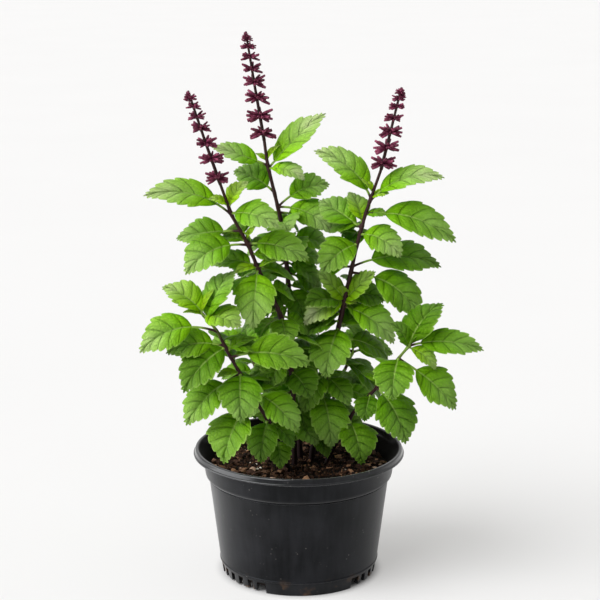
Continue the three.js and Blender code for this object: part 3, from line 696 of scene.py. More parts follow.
def stalk_finish():
    """Stems and petioles: near-black purple on the main stems, with painted shade that darkens them near the
    soil, and green on young growth and petioles."""
    finish = material("stalk")
    look = finish.look()
    body = finish.object_place((1, 1, 0.25))
    streaks = finish.noise(body, 700.0)
    patches = finish.noise(finish.object_place(), 110.0)
    green = finish.lighter(STALK_GREEN, 0.75 + streaks * 0.5)
    height = finish.node("SeparateXYZ", values={0: finish.object_place()}, output=2)
    # Painted shade: the stems darken towards the soil.
    shade = finish.smooth(height, *SHADE_HEIGHTS, 0.35, 1.0)
    purple = finish.lighter(STALK_PURPLE, (0.5 + streaks) * shade)
    amount = finish.smooth(look + patches * 0.35, 0.35, 0.85)
    colour = finish.mix(amount, purple, green)
    surface = finish.surface(
        colour=colour,
        roughness=0.45 + streaks * 0.2,
        specular=0.22,
        Normal=finish.bump(streaks, 0.0003, 0.6),
    )
    return finish.done(surface)


def calyx_finish():
    """Calyces, buds and bracts: burgundy, pinker at the lobes' tips, and duller and browner on bracts."""
    finish = material("calyx")
    look = finish.look()
    along, light, dull = look, look.out(1), look.out(2)
    body = finish.object_place()
    patches = finish.noise(body, 900.0)
    colour = finish.mix(along, CALYX_BASE, CALYX_TIP)
    colour = finish.lighter(colour, (0.55 + light) * (0.75 + patches * 0.5))
    colour = finish.mix(dull * 0.7, colour, BRACT_DULL)
    surface = finish.surface(
        colour=colour,
        roughness=0.6 + patches * 0.2,
        specular=0.3,
        Normal=finish.bump(patches, 0.0002, 0.7),
    )
    glow = finish.node("BsdfTranslucent", values={"Color": CALYX_GLOW})
    return finish.done(finish.blend(CALYX_GLOW_SHARE, surface, glow))


def pot_finish():
    """Moulded black plastic: a fine grain, faint upright streaks, dust, a few pale scuffs, a little soil
    at the foot, a smoother lip, and painted shade inside: the inner wall is darker and blended into a dark
    matt surface."""
    finish = material("pot_plastic")
    body = finish.object_place()
    upright = finish.object_place((1, 1, 0.10))
    clouds = finish.noise(body, 30.0, 4.0)
    streaks = finish.noise(upright, 240.0, 3.0)
    grain = finish.noise(body, 1500.0, 2.0)
    specks = finish.smooth(finish.cells(body, 330.0), 0.22, 0.08)
    rare = finish.smooth(finish.noise(body, 90.0), 0.54, 0.66)
    height = finish.node("SeparateXYZ", values={0: body}, output=2)
    low = 1 - finish.smooth(height, *DIRT_HEIGHTS)
    lip = finish.smooth(height, *LIP_HEIGHTS)
    inside = finish.smooth(finish.facing_out(body), -0.15, -0.60)
    dust = clouds * 2.3 + streaks * 1.2 - 1.32 + low * 0.2
    colour = finish.mix(dust, POT_CLEAN, POT_DUSTY)
    colour = finish.mix(specks * rare * 0.6, colour, POT_SPECK)
    # Painted shade on the inside wall.
    colour = finish.mix(inside * 0.8, colour, POT_INSIDE_PAINTED_SHADE)
    stain = low * finish.smooth(finish.noise(body, 75.0, 5.0), 0.54, 0.64)
    colour = finish.mix(stain * 0.75, colour, POT_STAIN)
    surface = finish.surface(
        colour=colour,
        roughness=(0.22 + clouds * 0.18 + streaks * 0.16).math("MAXIMUM", inside * 0.95),
        specular=0.13,
        Specular_Tint=POT_SHEEN,
        Coat_Weight=lip * 0.9,
        Coat_Roughness=0.12,
        Sheen_Weight=0.30,
        Sheen_Roughness=0.38,
        Normal=finish.bump(grain * 0.5 + streaks * 0.4 + clouds * 0.6, 0.00014, 0.6),
    )
    # Painted shade inside: a dark matt surface blended over the inner wall.
    painted_shade_inside = finish.surface(colour=POT_INSIDE_MATT_SHADE, roughness=0.9, specular=0.05)
    return finish.done(finish.blend(inside * 0.85, surface, painted_shade_inside))


def mix_finish(name, dark, pale, rough):
    """Potting mix, bark, perlite or pebble: two colours by the grain's own look, and a rough surface."""
    finish = material(name)
    look = finish.look()
    body = finish.object_place()
    patches = finish.noise(body, 450.0)
    grain = finish.noise(body, 2200.0, 2.0)
    colour = finish.mix(look + patches * 0.4 - 0.2, dark, pale)
    colour = finish.lighter(colour, 0.55 + grain * 0.9)
    surface = finish.surface(
        colour=colour,
        roughness=rough,
        specular=0.25,
        Normal=finish.bump(grain + patches, 0.0004, 0.8),
    )
    return finish.done(surface)


def floor_finish():
    """Pale paper that gives off a little light away from the pot, so that shadows on it stay faint."""
    finish = material("studio_floor")
    body = finish.object_place()
    away = finish.node("VectorMath", {"operation": "LENGTH"}, {0: body}, output="Value")
    surface = finish.surface(
        colour=finish.mix(finish.noise(body, 3.0), *FLOOR_PAPER),
        roughness=0.9,
        specular=0.0,
        Emission_Color=finish.lighter(FLOOR_GLOW, finish.smooth(away, *FLOOR_GLOW_EDGE)),
        Emission_Strength=1.0,
    )
    return finish.done(surface)


# ---------------------------------------------------------------- camera, floor and light

def sky():
    """A pale room that is darker behind the camera, with a wide soft window on the left."""
    room = Finish(bpy.data.worlds.new("studio"))
    way = room.node("TexCoord", output="Generated")
    forward = room.node("SeparateXYZ", values={0: way}, output="Y")
    values = {0: way, 1: Vector(WINDOW_WAY).normalized()}
    toward = room.node("VectorMath", {"operation": "DOT_PRODUCT"}, values, "Value")
    walls = room.smooth(forward, *SKY_RAMP, "LINEAR")
    window = room.smooth(toward, *WINDOW_EDGES, 0, WINDOW_STRENGTH)
    light = room.node("Background", values={"Color": (1, 1, 1, 1), "Strength": walls + window})
    bpy.context.scene.world = room.done(light, "OutputWorld")


def studio():
    camera = bpy.data.cameras.new("camera")
    camera.lens = CAMERA_LENS
    camera.sensor_width = SENSOR
    camera.shift_x = CAMERA_SHIFT
    camera.clip_end = 100
    eye = bpy.data.objects.new("camera", camera)
    eye.location = CAMERA_PLACE
    eye.rotation_euler = (math.radians(CAMERA_PITCH), 0, 0)
    bpy.context.scene.collection.objects.link(eye)
    bpy.context.scene.camera = eye

    deselect()
    bpy.ops.mesh.primitive_grid_add(x_subdivisions=4, y_subdivisions=4, size=FLOOR_SIZE)
    floor = fresh("studio_floor")
    floor.data.materials.append(floor_finish())

    sky()
    key = bpy.data.lights.new("key", "SUN")
    key.energy = KEY_STRENGTH
    key.angle = math.radians(KEY_WIDTH)
    key.color = KEY_COLOUR
    lamp = bpy.data.objects.new("key", key)
    lamp.rotation_euler = Vector(KEY_WAY).to_track_quat("-Z", "Y").to_euler()
    bpy.context.scene.collection.objects.link(lamp)

    bpy.context.scene.view_settings.view_transform = "Standard"
    bpy.context.scene.view_settings.look = "None"


# ---------------------------------------------------------------- pot

def pot_profile():
    """The pot's section as radius and height, from the middle of its underside round to its inside. The
    lip has a round crest, a steep face and a bead under it, and a fine bead runs under the collar."""
    lip_foot = POT_HEIGHT - LIP_DROP
    crest = RIM - LIP_CREST_INSET
    inset = crest - LIP_INNER_EDGE
    inner = [
        (crest - inset * math.sin(angle), POT_HEIGHT - LIP_DISH * (1 - math.cos(angle)))
        for angle in np.radians((0, 30, 60, 90))
    ]
    return [
        (0, 0), (BUTTON, 0), (BUTTON + WALL, FLOOR_HEIGHT), (BASE - FOOT_RING, FLOOR_HEIGHT),
        (BASE - FOOT_RING, 0), (BASE, 0), (BODY_FOOT - 0.15, BAND_HEIGHT - 0.8),
        (BODY_FOOT + BAND_LINE, BAND_HEIGHT - 0.4), (BODY_FOOT + BAND_LINE, BAND_HEIGHT + 0.2),
        (BODY_FOOT + 0.15, BAND_HEIGHT + 0.7),
        (BODY_TOP - 0.05, COLLAR_FOOT_HEIGHT - 1.4), (BODY_TOP + 0.5, COLLAR_FOOT_HEIGHT - 1.1),
        (BODY_TOP + 0.5, COLLAR_FOOT_HEIGHT - 0.7), (BODY_TOP + 0.2, COLLAR_FOOT_HEIGHT - 0.3),
        (COLLAR_FOOT - 1.0, COLLAR_FOOT_HEIGHT + 0.3), (COLLAR_FOOT, COLLAR_FOOT_HEIGHT + 1.3),
        (COLLAR_FOOT + 0.4, COLLAR_FOOT_HEIGHT + 2.8),
        (COLLAR_TOP, lip_foot), (RIM - 0.7, lip_foot), (RIM - 0.1, lip_foot + 0.3), (RIM, lip_foot + 0.8),
        (RIM - 0.25, lip_foot + 1.3), (RIM - 0.85, lip_foot + 1.6),
        (crest + 1.0, POT_HEIGHT - 1.1), (crest + 0.8, POT_HEIGHT - 0.5), (crest + 0.4, POT_HEIGHT - 0.12),
        *inner,
        (COLLAR_TOP - WALL, lip_foot - 2), (BODY_TOP - WALL, COLLAR_FOOT_HEIGHT - WALL),
        (BODY_FOOT - WALL, FLOOR_HEIGHT + WALL), (BUTTON, FLOOR_HEIGHT + WALL),
        (BUTTON - WALL, WALL), (0, WALL),
    ]


def cutter_box(angle, size):
    """A box across the pot's foot, half of it under the ground."""
    deselect()
    turn = math.radians(angle)
    place = (BASE * math.cos(turn) * MM, BASE * math.sin(turn) * MM, 0)
    bpy.ops.mesh.primitive_cube_add(size=1, location=place, rotation=(0, 0, turn))
    box = bpy.context.object
    box.scale = [length * MM for length in size]
    return box


def foot_cutters():
    """Slots, and the strips that lift the teeth between them off the ground."""
    boxes = []
    for group in range(SLOT_GROUPS):
        start = FIRST_SLOT + 360 / SLOT_GROUPS * group
        for slot in range(SLOTS_PER_GROUP):
            width = END_SLOT_WIDTH if slot in (0, SLOTS_PER_GROUP - 1) else SLOT_WIDTH
            angle = start + SLOT_PITCH * slot
            boxes.append(cutter_box(angle, (SLOT_DEPTH, width, 2 * SLOT_HEIGHT)))
        for tooth in range(SLOTS_PER_GROUP - 1):
            angle = start + SLOT_PITCH * (tooth + 0.5)
            boxes.append(cutter_box(angle, (SLOT_DEPTH, 2 * SLOT_WIDTH, 2 * TOOTH_LIFT)))
    return boxes


def drain_cutters():
    rods = []
    for hole in range(DRAIN_HOLES):
        angle = 2 * math.pi * hole / DRAIN_HOLES
        place = (DRAIN_CIRCLE * math.cos(angle) * MM, DRAIN_CIRCLE * math.sin(angle) * MM, FLOOR_HEIGHT * MM)
        deselect()
        bpy.ops.mesh.primitive_cylinder_add(
            vertices=32, radius=DRAIN_HOLE * MM, depth=2 * FLOOR_HEIGHT * MM, location=place)
        rods.append(bpy.context.object)
    return rods


def cut_away(piece, cutters):
    """Joins the cutters and takes them out of the piece."""
    deselect()
    for cutter in cutters:
        cutter.select_set(True)
    bpy.context.view_layer.objects.active = cutters[0]
    bpy.ops.object.transform_apply(location=True, rotation=True, scale=True)
    bpy.ops.object.join()
    tool = bpy.context.object
    finished(piece, "BOOLEAN", operation="DIFFERENCE", object=tool, solver="EXACT", use_self=True)
    bpy.data.objects.remove(tool)


def pot():
    """The shell is a profile drawn point by point and spun round, then cut at its foot."""
    profile = [Vector((radius * MM, 0, height * MM)) for radius, height in pot_profile()]
    deselect()
    bpy.ops.mesh.primitive_plane_add(size=MM, location=(0, 0, 0))
    shell = fresh("pot_shell")
    bpy.ops.object.mode_set(mode="EDIT")
    bpy.ops.mesh.select_all(action="SELECT")
    bpy.ops.mesh.merge(type="CENTER")
    for here, there in zip(profile, profile[1:]):
        bpy.ops.mesh.extrude_region_move(TRANSFORM_OT_translate={"value": there - here})
    bpy.ops.mesh.select_all(action="SELECT")
    bpy.ops.mesh.spin(steps=POT_STEPS, angle=2 * math.pi, center=(0, 0, 0), axis=(0, 0, 1))
    bpy.ops.mesh.select_all(action="SELECT")
    bpy.ops.mesh.remove_doubles(threshold=0.01 * MM)
    bpy.ops.mesh.normals_make_consistent(inside=False)
    bpy.ops.object.mode_set(mode="OBJECT")
    cut_away(shell, foot_cutters() + drain_cutters())
    finished(shell, "BEVEL", width=EDGE_ROUND * MM, segments=2, limit_method="ANGLE",
             angle_limit=math.radians(32), harden_normals=False)
    smoothed(shell, 40)
    dressed(shell, pot_finish())
    placed(shell, "pot_plastic", "pot")


# ---------------------------------------------------------------- soil

def soil_level(x, y):
    outward = math.hypot(x, y) / COLLAR_TOP
    bumps = BUMP_RELIEF * math.sin(x / BUMP_LENGTH) * math.cos(y / BUMP_LENGTH)
    swells = SWELL_RELIEF * math.sin((x - y) / SWELL_LENGTH)
    return SOIL_HEIGHT + SOIL_CROWN * (1 - outward * outward) + bumps + swells


def soil_bed():
    """A closed block of potting mix with a crumbly top."""
    deselect()
    bpy.ops.mesh.primitive_circle_add(vertices=120, radius=SOIL_REACH, fill_type="NGON")
    bed = fresh("soil_bed")
    bpy.ops.object.mode_set(mode="EDIT")
    bpy.ops.mesh.select_mode(type="FACE")
    bpy.ops.mesh.select_all(action="SELECT")
    for _ in range(SOIL_RINGS):
        bpy.ops.mesh.inset(thickness=SOIL_REACH / (SOIL_RINGS + 1))
    bpy.ops.mesh.poke()
    bpy.ops.object.mode_set(mode="OBJECT")
    finished(bed, "SOLIDIFY", thickness=1, offset=-1)
    points = points_of(bed)
    for point in points:
        x, y, z = point
        if z > -0.5:
            rough = noise.fractal(Vector((x, y, 3.0)) * BED_SCALE, 0.6, 2.2, 4)
            point[2] = soil_level(x, y) - BED_SINK + BED_RELIEF * rough
        else:
            taper = (BODY_FOOT - WALL - 0.6) / SOIL_REACH
            point[:] = (x * taper, y * taper, SOIL_BOTTOM)
    place_points(bed, points * MM)
    smoothed(bed, 60)
    return bed


def grains(draw, name, roundness, count, sizes, flat, sink, dark, jag):
    """Loose grains strewn over the soil: each a jagged, flattened ball that is turned and half sunk."""
    deselect()
    bpy.ops.mesh.primitive_ico_sphere_add(subdivisions=roundness, radius=1)
    ball = fresh("grain")
    shape = points_of(ball)
    stems = [stem["path"][0][:2] for stem in STEMS]
    copies, looks = [], []
    while len(copies) < count:
        outward = (SOIL_REACH - GRAIN_MARGIN) * math.sqrt(draw.random())
        angle = draw.uniform(0, 2 * math.pi)
        x, y = outward * math.cos(angle), outward * math.sin(angle)
        if min(math.hypot(x - sx, y - sy) for sx, sy in stems) < STEM_CLEARANCE:
            continue
        size = sizes[0] + (sizes[1] - sizes[0]) * draw.random() ** SMALL_SHARE
        jitter = np.array([[draw.uniform(*jag)] for _ in shape])
        stretch = np.array([size, size * draw.uniform(0.55, 0.9), size * draw.uniform(*flat)]) / 2
        points = shape * jitter * stretch
        spin, tilt = draw.uniform(0, 2 * math.pi), draw.gauss(0, 0.45)
        c, s, ct, st = math.cos(spin), math.sin(spin), math.cos(tilt), math.sin(tilt)
        spun = np.array([[c, -s, 0], [s, c, 0], [0, 0, 1]])
        tilted = np.array([[1, 0, 0], [0, ct, -st], [0, st, ct]])
        points = points @ (spun @ tilted).T
        points += (x, y, soil_level(x, y) + stretch[2] * (1 - sink) + draw.uniform(-0.3, 0.5))
        reach = np.hypot(points[:, 0], points[:, 1])
        points[:, :2] *= np.minimum(1, (SOIL_REACH + 0.3) / np.maximum(reach, 1))[:, None]
        copies.append(points)
        looks.append((draw.random() ** dark, draw.random(), draw.random(), 1))
    piece = gathered(name, ball, copies, looks)
    bpy.data.objects.remove(ball)
    return piece


def soil():
    mixes = {name: mix_finish(name, *look) for name, look in MIXES.items()}
    draw = random.Random(SOIL_SEED)
    pieces = [(soil_bed(), "soil_mix")]
    pieces += [(grains(draw, name, *kind), mix) for name, mix, *kind in GRAINS]
    for piece, mix in pieces:
        dressed(piece, mixes[mix])
        placed(piece, "soil", "soil")


# ---------------------------------------------------------------- leaves and stems

class Middle:
    """A leaf's middle line, in mm: bowed upwards from its node to its tip, with its blade's upper side
    rolled towards the front."""

    def __init__(self, node, leaf):
        _, x, y, z, _, _, roll, *bow = leaf
        self.node = np.array(node, dtype=float)
        self.reach = np.array((x, y, z), dtype=float)
        self.length = np.linalg.norm(self.reach)
        self.bow = 4 * (bow[0] if bow else BOW) * self.length
        way = self.reach / self.length
        self.upright = unit(np.array((0, 0, 1.0)) - way * way[2])
        side = np.cross(way, self.upright)
        if side[1] > 0:
            side = -side
        angle = math.radians(roll)
        self.face = self.upright * math.cos(angle) + side * math.sin(angle)

    def at(self, share):
        share = np.asarray(share)[:, None]
        return self.node + self.reach * share + self.upright * (self.bow * share * (1 - share))

    def axes(self, share):
        """The ways across the blade and up from it."""
        share = np.asarray(share)[:, None]
        along = unit(self.reach + self.upright * (self.bow * (1 - 2 * share)))
        normal = unit(self.face - along * (along @ self.face)[:, None])
        return np.cross(along, normal), normal


def outline(share):
    """A blade's half width as a share of its width, pointed at the tip and blunt at the foot."""
    share = np.clip(share, 0, 1)
    power = BLADE_FULLNESS + 0.50 * step(0.55, 1.0, share) + 0.16 * step(0.25, 0.0, share)
    return np.sin(np.pi * share ** BLADE_SKEW).clip(0) ** power / 2


def tooth_edge(across, along, draw):
    """How far the edge stands out at each place: 0 in a notch, and as far as a tooth's own size on its
    back."""
    place = np.clip((along - TOOTH_START) / (TOOTH_END - TOOTH_START), 0, 1) * TEETH
    tooth = np.floor(place + 1e-6)
    known = [(0, 0), *TOOTH_ROWS]
    stand = np.interp(place - tooth, [here for here, _ in known], [out for _, out in known])
    sizes = np.array([draw.uniform(*TOOTH_SPREAD) for _ in range(2 * TEETH + 2)])
    own = sizes[(tooth.clip(0, TEETH) + (across > 0) * (TEETH + 1)).astype(int)]
    return np.where((along < TOOTH_START) | (along > TOOTH_END), 0.0, stand * own)


def blade(sheet, middle, leaf, laterals, draw):
    """The points of one blade, bent from the flat sheet."""
    width, petiole = leaf[4:6]
    across, along, _ = sheet.T
    side = np.abs(across)
    length = middle.length * (1 - petiole)
    lean = VEIN_LEAN * np.sin(np.pi * along)
    stand = tooth_edge(across, along, draw) * side ** 7
    share = along + lean * side ** 1.15 + stand * 0.012
    half = width * outline(along + lean * step(1.0, 0.9, along))
    foot = (PETIOLE_SHARE * width) / 2
    half = np.maximum(half, foot * (1 - along * 6)) + 0.12 * step(1.0, 0.9, along)
    size = TOOTH_SIZE * width * (1 - 0.35 * along)
    sweep = draw.uniform(-BLADE_SWEEP, BLADE_SWEEP) * length
    sideways = across * (half + stand * size) + sweep * share * share

    fold = draw.uniform(*BLADE_FOLDS)
    arch = fold - draw.uniform(*BLADE_ARCHES)
    phase = along * laterals + np.sign(across) * VEIN_STAGGER
    panel = np.abs(np.sin(np.pi * phase)) ** 0.6
    swell = step(0.0, 0.25, side) * (1 - side ** 3) * step(0.0, 0.12, along) * step(1.0, 0.85, along)
    wave = np.where(across > 0, draw.uniform(0, 6.3), draw.uniform(0, 6.3))
    lift = half * (fold * side - arch * side * side)
    lift += PUCKER * width * panel * swell
    lift += EDGE_WAVE * half * side ** 3 * np.sin(along * draw.uniform(9, 15) + wave)
    lift -= draw.uniform(*BLADE_DROOPS) * length * share ** 3
    twist = draw.uniform(-BLADE_TWIST, BLADE_TWIST) * (share - 0.4)
    place = petiole + (1 - petiole) * BLADE_REACH * share
    out, up = middle.axes(place)
    height = lift * np.cos(twist) + sideways * np.sin(twist)
    sideways = sideways * np.cos(twist) - lift * np.sin(twist)
    return middle.at(place) + out * sideways[:, None] + up * height[:, None]


def crease_of(flat, bent):
    """The points along a blade's crease, each with its place along the flat sheet."""
    inmost = np.flatnonzero(np.abs(flat[:, 0]) < 1e-6)
    inmost = inmost[np.argsort(flat[inmost, 1])]
    return np.column_stack((bent[inmost], flat[inmost, 1]))


def stalk(tube, middle, leaf, crease):
    """A petiole that runs on as the midrib under the blade's crease, and its share of green."""
    width, petiole = leaf[4:6]
    slim = min(max(PETIOLE_SHARE * width, PETIOLE_WIDTHS[0]), PETIOLE_WIDTHS[1]) / 2
    end = petiole + RIB_END * (1 - petiole)
    share = tube[:, 2] * end
    under = np.clip((share - petiole) / (end - petiole), 0, 1)
    radius = slim * (1 + 0.5 * np.exp(-share * middle.length / 1.5)) * (1 - 0.85 * under ** 0.6)
    out, up = middle.axes(share)
    drop = -radius * 0.55 * step(0, 0.05, under) - 0.02 * width * (1 - under) * step(0, 0.05, under)
    crease_share = petiole + (1 - petiole) * BLADE_REACH * crease[:, 3]
    below = np.stack([np.interp(share, crease_share, crease[:, axis]) for axis in range(3)], axis=1)
    line = np.where((share > petiole)[:, None], below, middle.at(share))
    points = line + out * (tube[:, 0] * radius)[:, None]
    points += up * (tube[:, 1] * radius * 0.85 + drop)[:, None]
    return points, step(0.0, 0.9, share / max(petiole, 0.01))


def point_at_height(path, height):
    path = np.array(path, dtype=float)
    return np.array([np.interp(height, path[:, 2], path[:, axis]) for axis in range(3)])


def stem_tube(tube, path, radii, joints, squareness=0.07):
    """The points of a stem, square with round corners and swollen at its joints."""
    path = np.array(path, dtype=float)
    share = tube[:, 2]
    levels = np.unique(np.round(share, 6))
    heights = path[0, 2] + (path[-1, 2] - path[0, 2]) * levels
    line = np.array([[np.interp(h, path[:, 2], path[:, a]) for a in range(3)] for h in heights])
    soft = line.copy()
    for _ in range(3):
        soft[1:-1] = (soft[:-2] + 2 * soft[1:-1] + soft[2:]) / 4
    ways = unit(np.gradient(soft, axis=0))
    row = np.searchsorted(levels, np.round(share, 6))
    way = ways[row]
    out = unit(np.array((1.0, 0, 0)) - way * way[:, :1])
    along = np.cross(way, out)
    angle = np.arctan2(tube[:, 1], tube[:, 0])
    radius = radii[0] + (radii[1] - radii[0]) * share
    for joint in joints:
        radius = radius * (1 + STEM_SWELLING * np.exp(-((heights[row] - joint) / 2.0) ** 2))
    radius = radius * (1 + squareness * np.cos(4 * angle)) * (np.hypot(tube[:, 0], tube[:, 1]) > 0.5)
    return soft[row] + out * (np.cos(angle) * radius)[:, None] + along * (np.sin(angle) * radius)[:, None]


def inner_leaves(stem, taken, draw):
    """More leaves for a stem's inside, where the plant is dense: opposite pairs, each a quarter turn from
    the pair below it. One that would leave the plant's outline or crowd another leaf is left out."""
    path = stem["path"]
    height = path[0][2] + INNER_START
    turn = draw.uniform(0, math.pi)
    chosen = []
    while height < min(path[-1][2] - INNER_END, INNER_TOP):
        for side in (0, math.pi):
            azimuth = turn + side + draw.gauss(0, 0.25)
            length = draw.uniform(*INNER_LENGTHS)
            rise, width, petiole, roll, bow = (draw.uniform(*ends) for ends in INNER_RANGES)
            reach = (length * math.cos(azimuth), length * math.sin(azimuth), rise)
            leaf = (height, *reach, length * width, petiole, roll, bow)
            middle = Middle(point_at_height(path, height), leaf)
            places = middle.at(np.array((0.35, 0.55, 0.75, 0.95)))
            tip = places[-1]
            spread = np.interp(tip[2], *zip(*INNER_SPREAD))
            inside = abs(tip[0]) <= spread and INNER_FRONT <= tip[1] <= INNER_BACK
            gaps = np.linalg.norm(taken[:, None] - places[None], axis=2)
            if inside and gaps.min() >= INNER_GAP:
                chosen.append(leaf)
                taken = np.concatenate((taken, places))
        height += draw.uniform(*INNER_STEPS)
        turn += math.pi / 2
    return chosen, taken


def woody(name, master, copies, looks, stalks, slot, node):
    """An axis, or a stem's petioles."""
    piece = gathered(name, master, copies, looks)
    dressed(piece, stalks)
    smoothed(piece, 50)
    placed(piece, slot, node)


def leaves(stem, grown, draw, masters, finishes):
    """One stem's leaves as a few pieces of blades or leaflets. It gives back the points and looks of their
    petioles and midribs."""
    name = stem["name"]
    large, small, thin, _ = masters
    upper, under, _ = finishes
    groups, petioles, petiole_looks = {}, [], []
    for leaf, look, part in grown:
        middle = Middle(point_at_height(stem["path"], leaf[0]), leaf)
        # The look's lightness paints light and shade on the leaf.
        youth, light = LOOKS[look]
        light += TOP_LIGHT * float(step(*TOP_HEIGHTS, leaf[0]))
        leaf_look_and_painted_light = (youth + draw.uniform(0, 0.12), light + draw.uniform(-0.12, 0.12), draw.random(), 1)
        if leaf[4] <= SMALL_LEAF:
            sheet, kind, laterals = small, "_leaflets", SMALL_LATERALS
        else:
            sheet, kind, laterals = large, "_blades", LATERALS
        flat = points_of(sheet)
        bent = blade(flat, middle, leaf, laterals, draw)
        _, blades, looks = groups.setdefault(part + kind, (sheet, [], []))
        blades.append(bent)
        looks.append(leaf_look_and_painted_light)
        points, green = stalk(points_of(thin), middle, leaf, crease_of(flat, bent))
        tints = np.ones((len(points), 4))
        tints[:, 0] = green ** 1.6 * 0.80 + 0.10
        petioles.append(points)
        petiole_looks.append(tints)
    for part, group in groups.items():
        piece = gathered(name + part, *group)
        dressed(piece, upper, under)
        finished(piece, "SOLIDIFY", thickness=BLADE_THICKNESS * MM, offset=-1, material_offset=1,
                 material_offset_rim=0)
        smoothed(piece, 50)
        placed(piece, "foliage", name)
    return petioles, petiole_looks


def foliage(masters, finishes):
    """Every leafy stem: its leaves, more leaves inside the plant, its own axis and the petioles."""
    _, _, thin, thick = masters
    stalks = finishes[-1]
    taken = np.concatenate([
        Middle(point_at_height(stem["path"], leaf[0]), leaf).at(np.array((0.3, 0.5, 0.7, 0.9)))
        for stem in STEMS for leaf in stem["leaves"]
    ])
    for number, stem in enumerate(STEMS):
        draw = random.Random(LEAF_SEED + number)
        inner, taken = inner_leaves(stem, taken, draw)
        grown = [(leaf, look, "") for leaf, look in zip(stem["leaves"], stem["looks"], strict=True)]
        # Inner leaves now and then take the dark look d, as painted shade inside the plant.
        grown += [(leaf, draw.choice("mmmd"), "_inner") for leaf in inner]
        petioles, petiole_looks = leaves(stem, grown, draw, masters, finishes)
        name, foot = stem["name"], (*stem["path"][0][:2], STEM_FOOT)
        joints = sorted({leaf[0] for leaf in stem["leaves"] if leaf[4] > SMALL_LEAF})
        radii = [radius * STEM_SLIM for radius in stem["radii"]]
        trunk = stem_tube(points_of(thick), [foot, *stem["path"]], radii, joints)
        tints = np.ones((len(trunk), 4))
        tints[:, 0] = 0.0 if "spike" in stem else 0.60 * step(0.80, 1.0, points_of(thick)[:, 2])
        woody(name + "_axis", thick, [trunk], [tints], stalks, "foliage", name)
        woody(name + "_petioles", thin, petioles, petiole_looks, stalks, "foliage", name)


# ---------------------------------------------------------------- flower spikes

def calyx_master():
    """A calyx along Z from 0 to 1: a short pedicel, a slim bell, and five long pointed lobes round a
    hollow mouth."""
    tube = unit_tube("calyx", 10, CALYX_STEPS)
    points = points_of(tube)
    for index, (x, y, z) in enumerate(points):
        level = round(z * CALYX_STEPS)
        angle = math.atan2(y, x)
        lobe = math.cos(2.5 * angle) ** 2
        height, radius = CALYX_PROFILE[level]
        longer, slimmer = CALYX_LOBES.get(level, (0, 0))
        height += longer * lobe
        radius -= slimmer * lobe
        points[index] = (radius * math.cos(angle), radius * math.sin(angle) * 0.85, height)
    place_points(tube, points)
    return tube


def turned(points, way, spin):
    """Turns points so that their Z runs along a way, after a spin about it."""
    way = unit(np.array(way, dtype=float))
    flat = unit(np.cross((0.3, 0.2, 1.0), way))
    other = np.cross(way, flat)
    c, s = math.cos(spin), math.sin(spin)
    return points @ np.array([flat * c + other * s, other * c - flat * s, way])


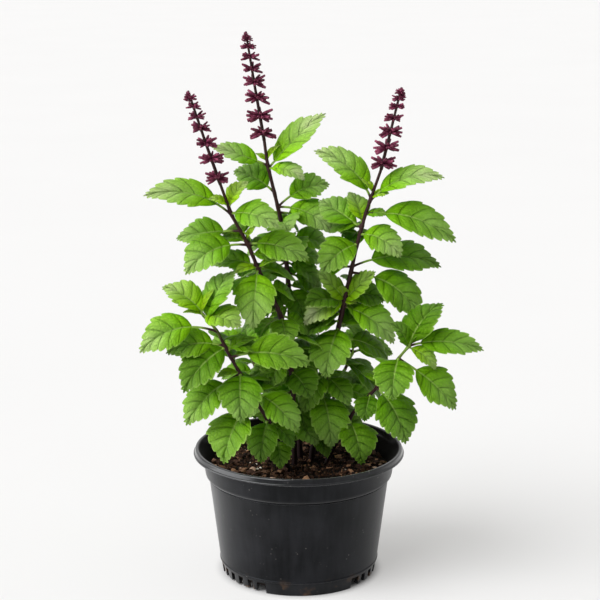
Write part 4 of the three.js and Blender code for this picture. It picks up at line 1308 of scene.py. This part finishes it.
def spike(details, masters, finishes):
    """A flower spike: its axis, and whorls of calyces in two opposite clusters with a bract under each."""
    thick, calyx, bract = masters
    stalks, calyces = finishes
    name, path, whorls = details["name"], details["path"], details["whorls"]
    draw = random.Random(name)
    axis = stem_tube(points_of(thick), path, SPIKE_RADII, [height for height, _ in whorls], 0.1)
    woody(name + "_axis", thick, [axis], [(0.0, 1, 1, 1)], stalks, "flower_spike", name)

    shape = points_of(calyx)
    share = shape[:, 2] / shape[:, 2].max()
    leaflet = points_of(bract)
    copies, looks, bracts, bract_looks = [], [], [], []

    def flower(node, azimuth, rise, length, away):
        way = np.array((math.cos(azimuth) * math.cos(rise), math.sin(azimuth) * math.cos(rise),
                        math.sin(rise)))
        points = turned(shape * length, way, draw.uniform(0, 6.3)) + node + way * away
        tints = np.zeros((len(shape), 4))
        tints[:, 0] = step(0.45, 1.0, share)
        tints[:, 1] = draw.uniform(0.1, 0.9)
        tints[:, 3] = 1
        copies.append(points)
        looks.append(tints)

    for number, (height, reach) in enumerate(whorls):
        node = point_at_height(path, height)
        facing = draw.gauss(0, 0.20)
        young = number / len(whorls)
        for side in (0, math.pi):
            for place, low, high in CLUSTER:
                azimuth = facing + side + math.radians(place) + draw.gauss(0, 0.12)
                rise = math.radians(RISE_SHARE * draw.uniform(low, high) + YOUNG_RISE * young)
                flower(node + (0, 0, draw.uniform(-0.5, 0.5)), azimuth, rise,
                       reach * draw.uniform(*CALYX_LENGTHS), reach * CALYX_START)
            azimuth = facing + side + math.pi / 2
            way = (math.cos(azimuth) * 0.9, math.sin(azimuth) * 0.9, -0.35)
            bracts.append(turned(leaflet * reach * BRACT_LENGTH, way, 1.2) + node - (0, 0, 0.8))
            bract_looks.append((0.6, 0.8, draw.uniform(0.2, 0.9), 1))
    top = np.array(path[-1], dtype=float)
    for number in range(TIP_BUDS):
        level = number / (TIP_BUDS - 1)
        node = top - (0, 0, TIP_DEPTH - TIP_CLIMB * level)
        rise = math.radians(BUD_RISES[0] + BUD_RISES[1] * level)
        flower(node, number * BUD_TURN, rise, BUD_LENGTH, BUD_START)
    for part, master, places, tints in (
        ("_calyces", calyx, copies, looks), ("_bracts", bract, bracts, bract_looks),
    ):
        piece = gathered(name + part, master, places, tints)
        if part == "_bracts":
            finished(piece, "SOLIDIFY", thickness=BRACT_THICKNESS * MM, offset=0)
        dressed(piece, calyces)
        smoothed(piece, 60)
        placed(piece, "flower_spike", name)


def bract_master():
    """A small pointed scale along Z, cupped."""
    sheet = unit_sheet("bract", 4, [row / 5 for row in range(6)], LATERALS)
    points = points_of(sheet)
    across, along, _ = points.T.copy()
    half = 0.42 * np.sin(np.pi * (0.08 + 0.92 * along) ** 0.8).clip(0.02)
    points[:, 0] = across * half
    points[:, 1] = 0.25 * across ** 2 * half + 0.15 * along ** 2
    points[:, 2] = along
    place_points(sheet, points)
    return sheet


def plant():
    large = unit_sheet("blade_sheet", 22, tooth_rows(4, 6), LATERALS)
    small = unit_sheet("leaflet_sheet", 12, tooth_rows(2, 4), SMALL_LATERALS)
    thin = unit_tube("petiole_tube", 8, 20)
    thick = unit_tube("stem_tube", 16, 110)
    calyx = calyx_master()
    bract = bract_master()
    upper = leaf_finish("leaf_upper", True)
    under = leaf_finish("leaf_under", False)
    stalks = stalk_finish()
    calyces = calyx_finish()
    foliage((large, small, thin, thick), (upper, under, stalks))
    for stem in STEMS:
        if "spike" in stem:
            spike(stem["spike"], (thick, calyx, bract), (stalks, calyces))
    for master in (large, small, thin, thick, calyx, bract):
        bpy.data.objects.remove(master)


studio()
pot()
soil()
plant()
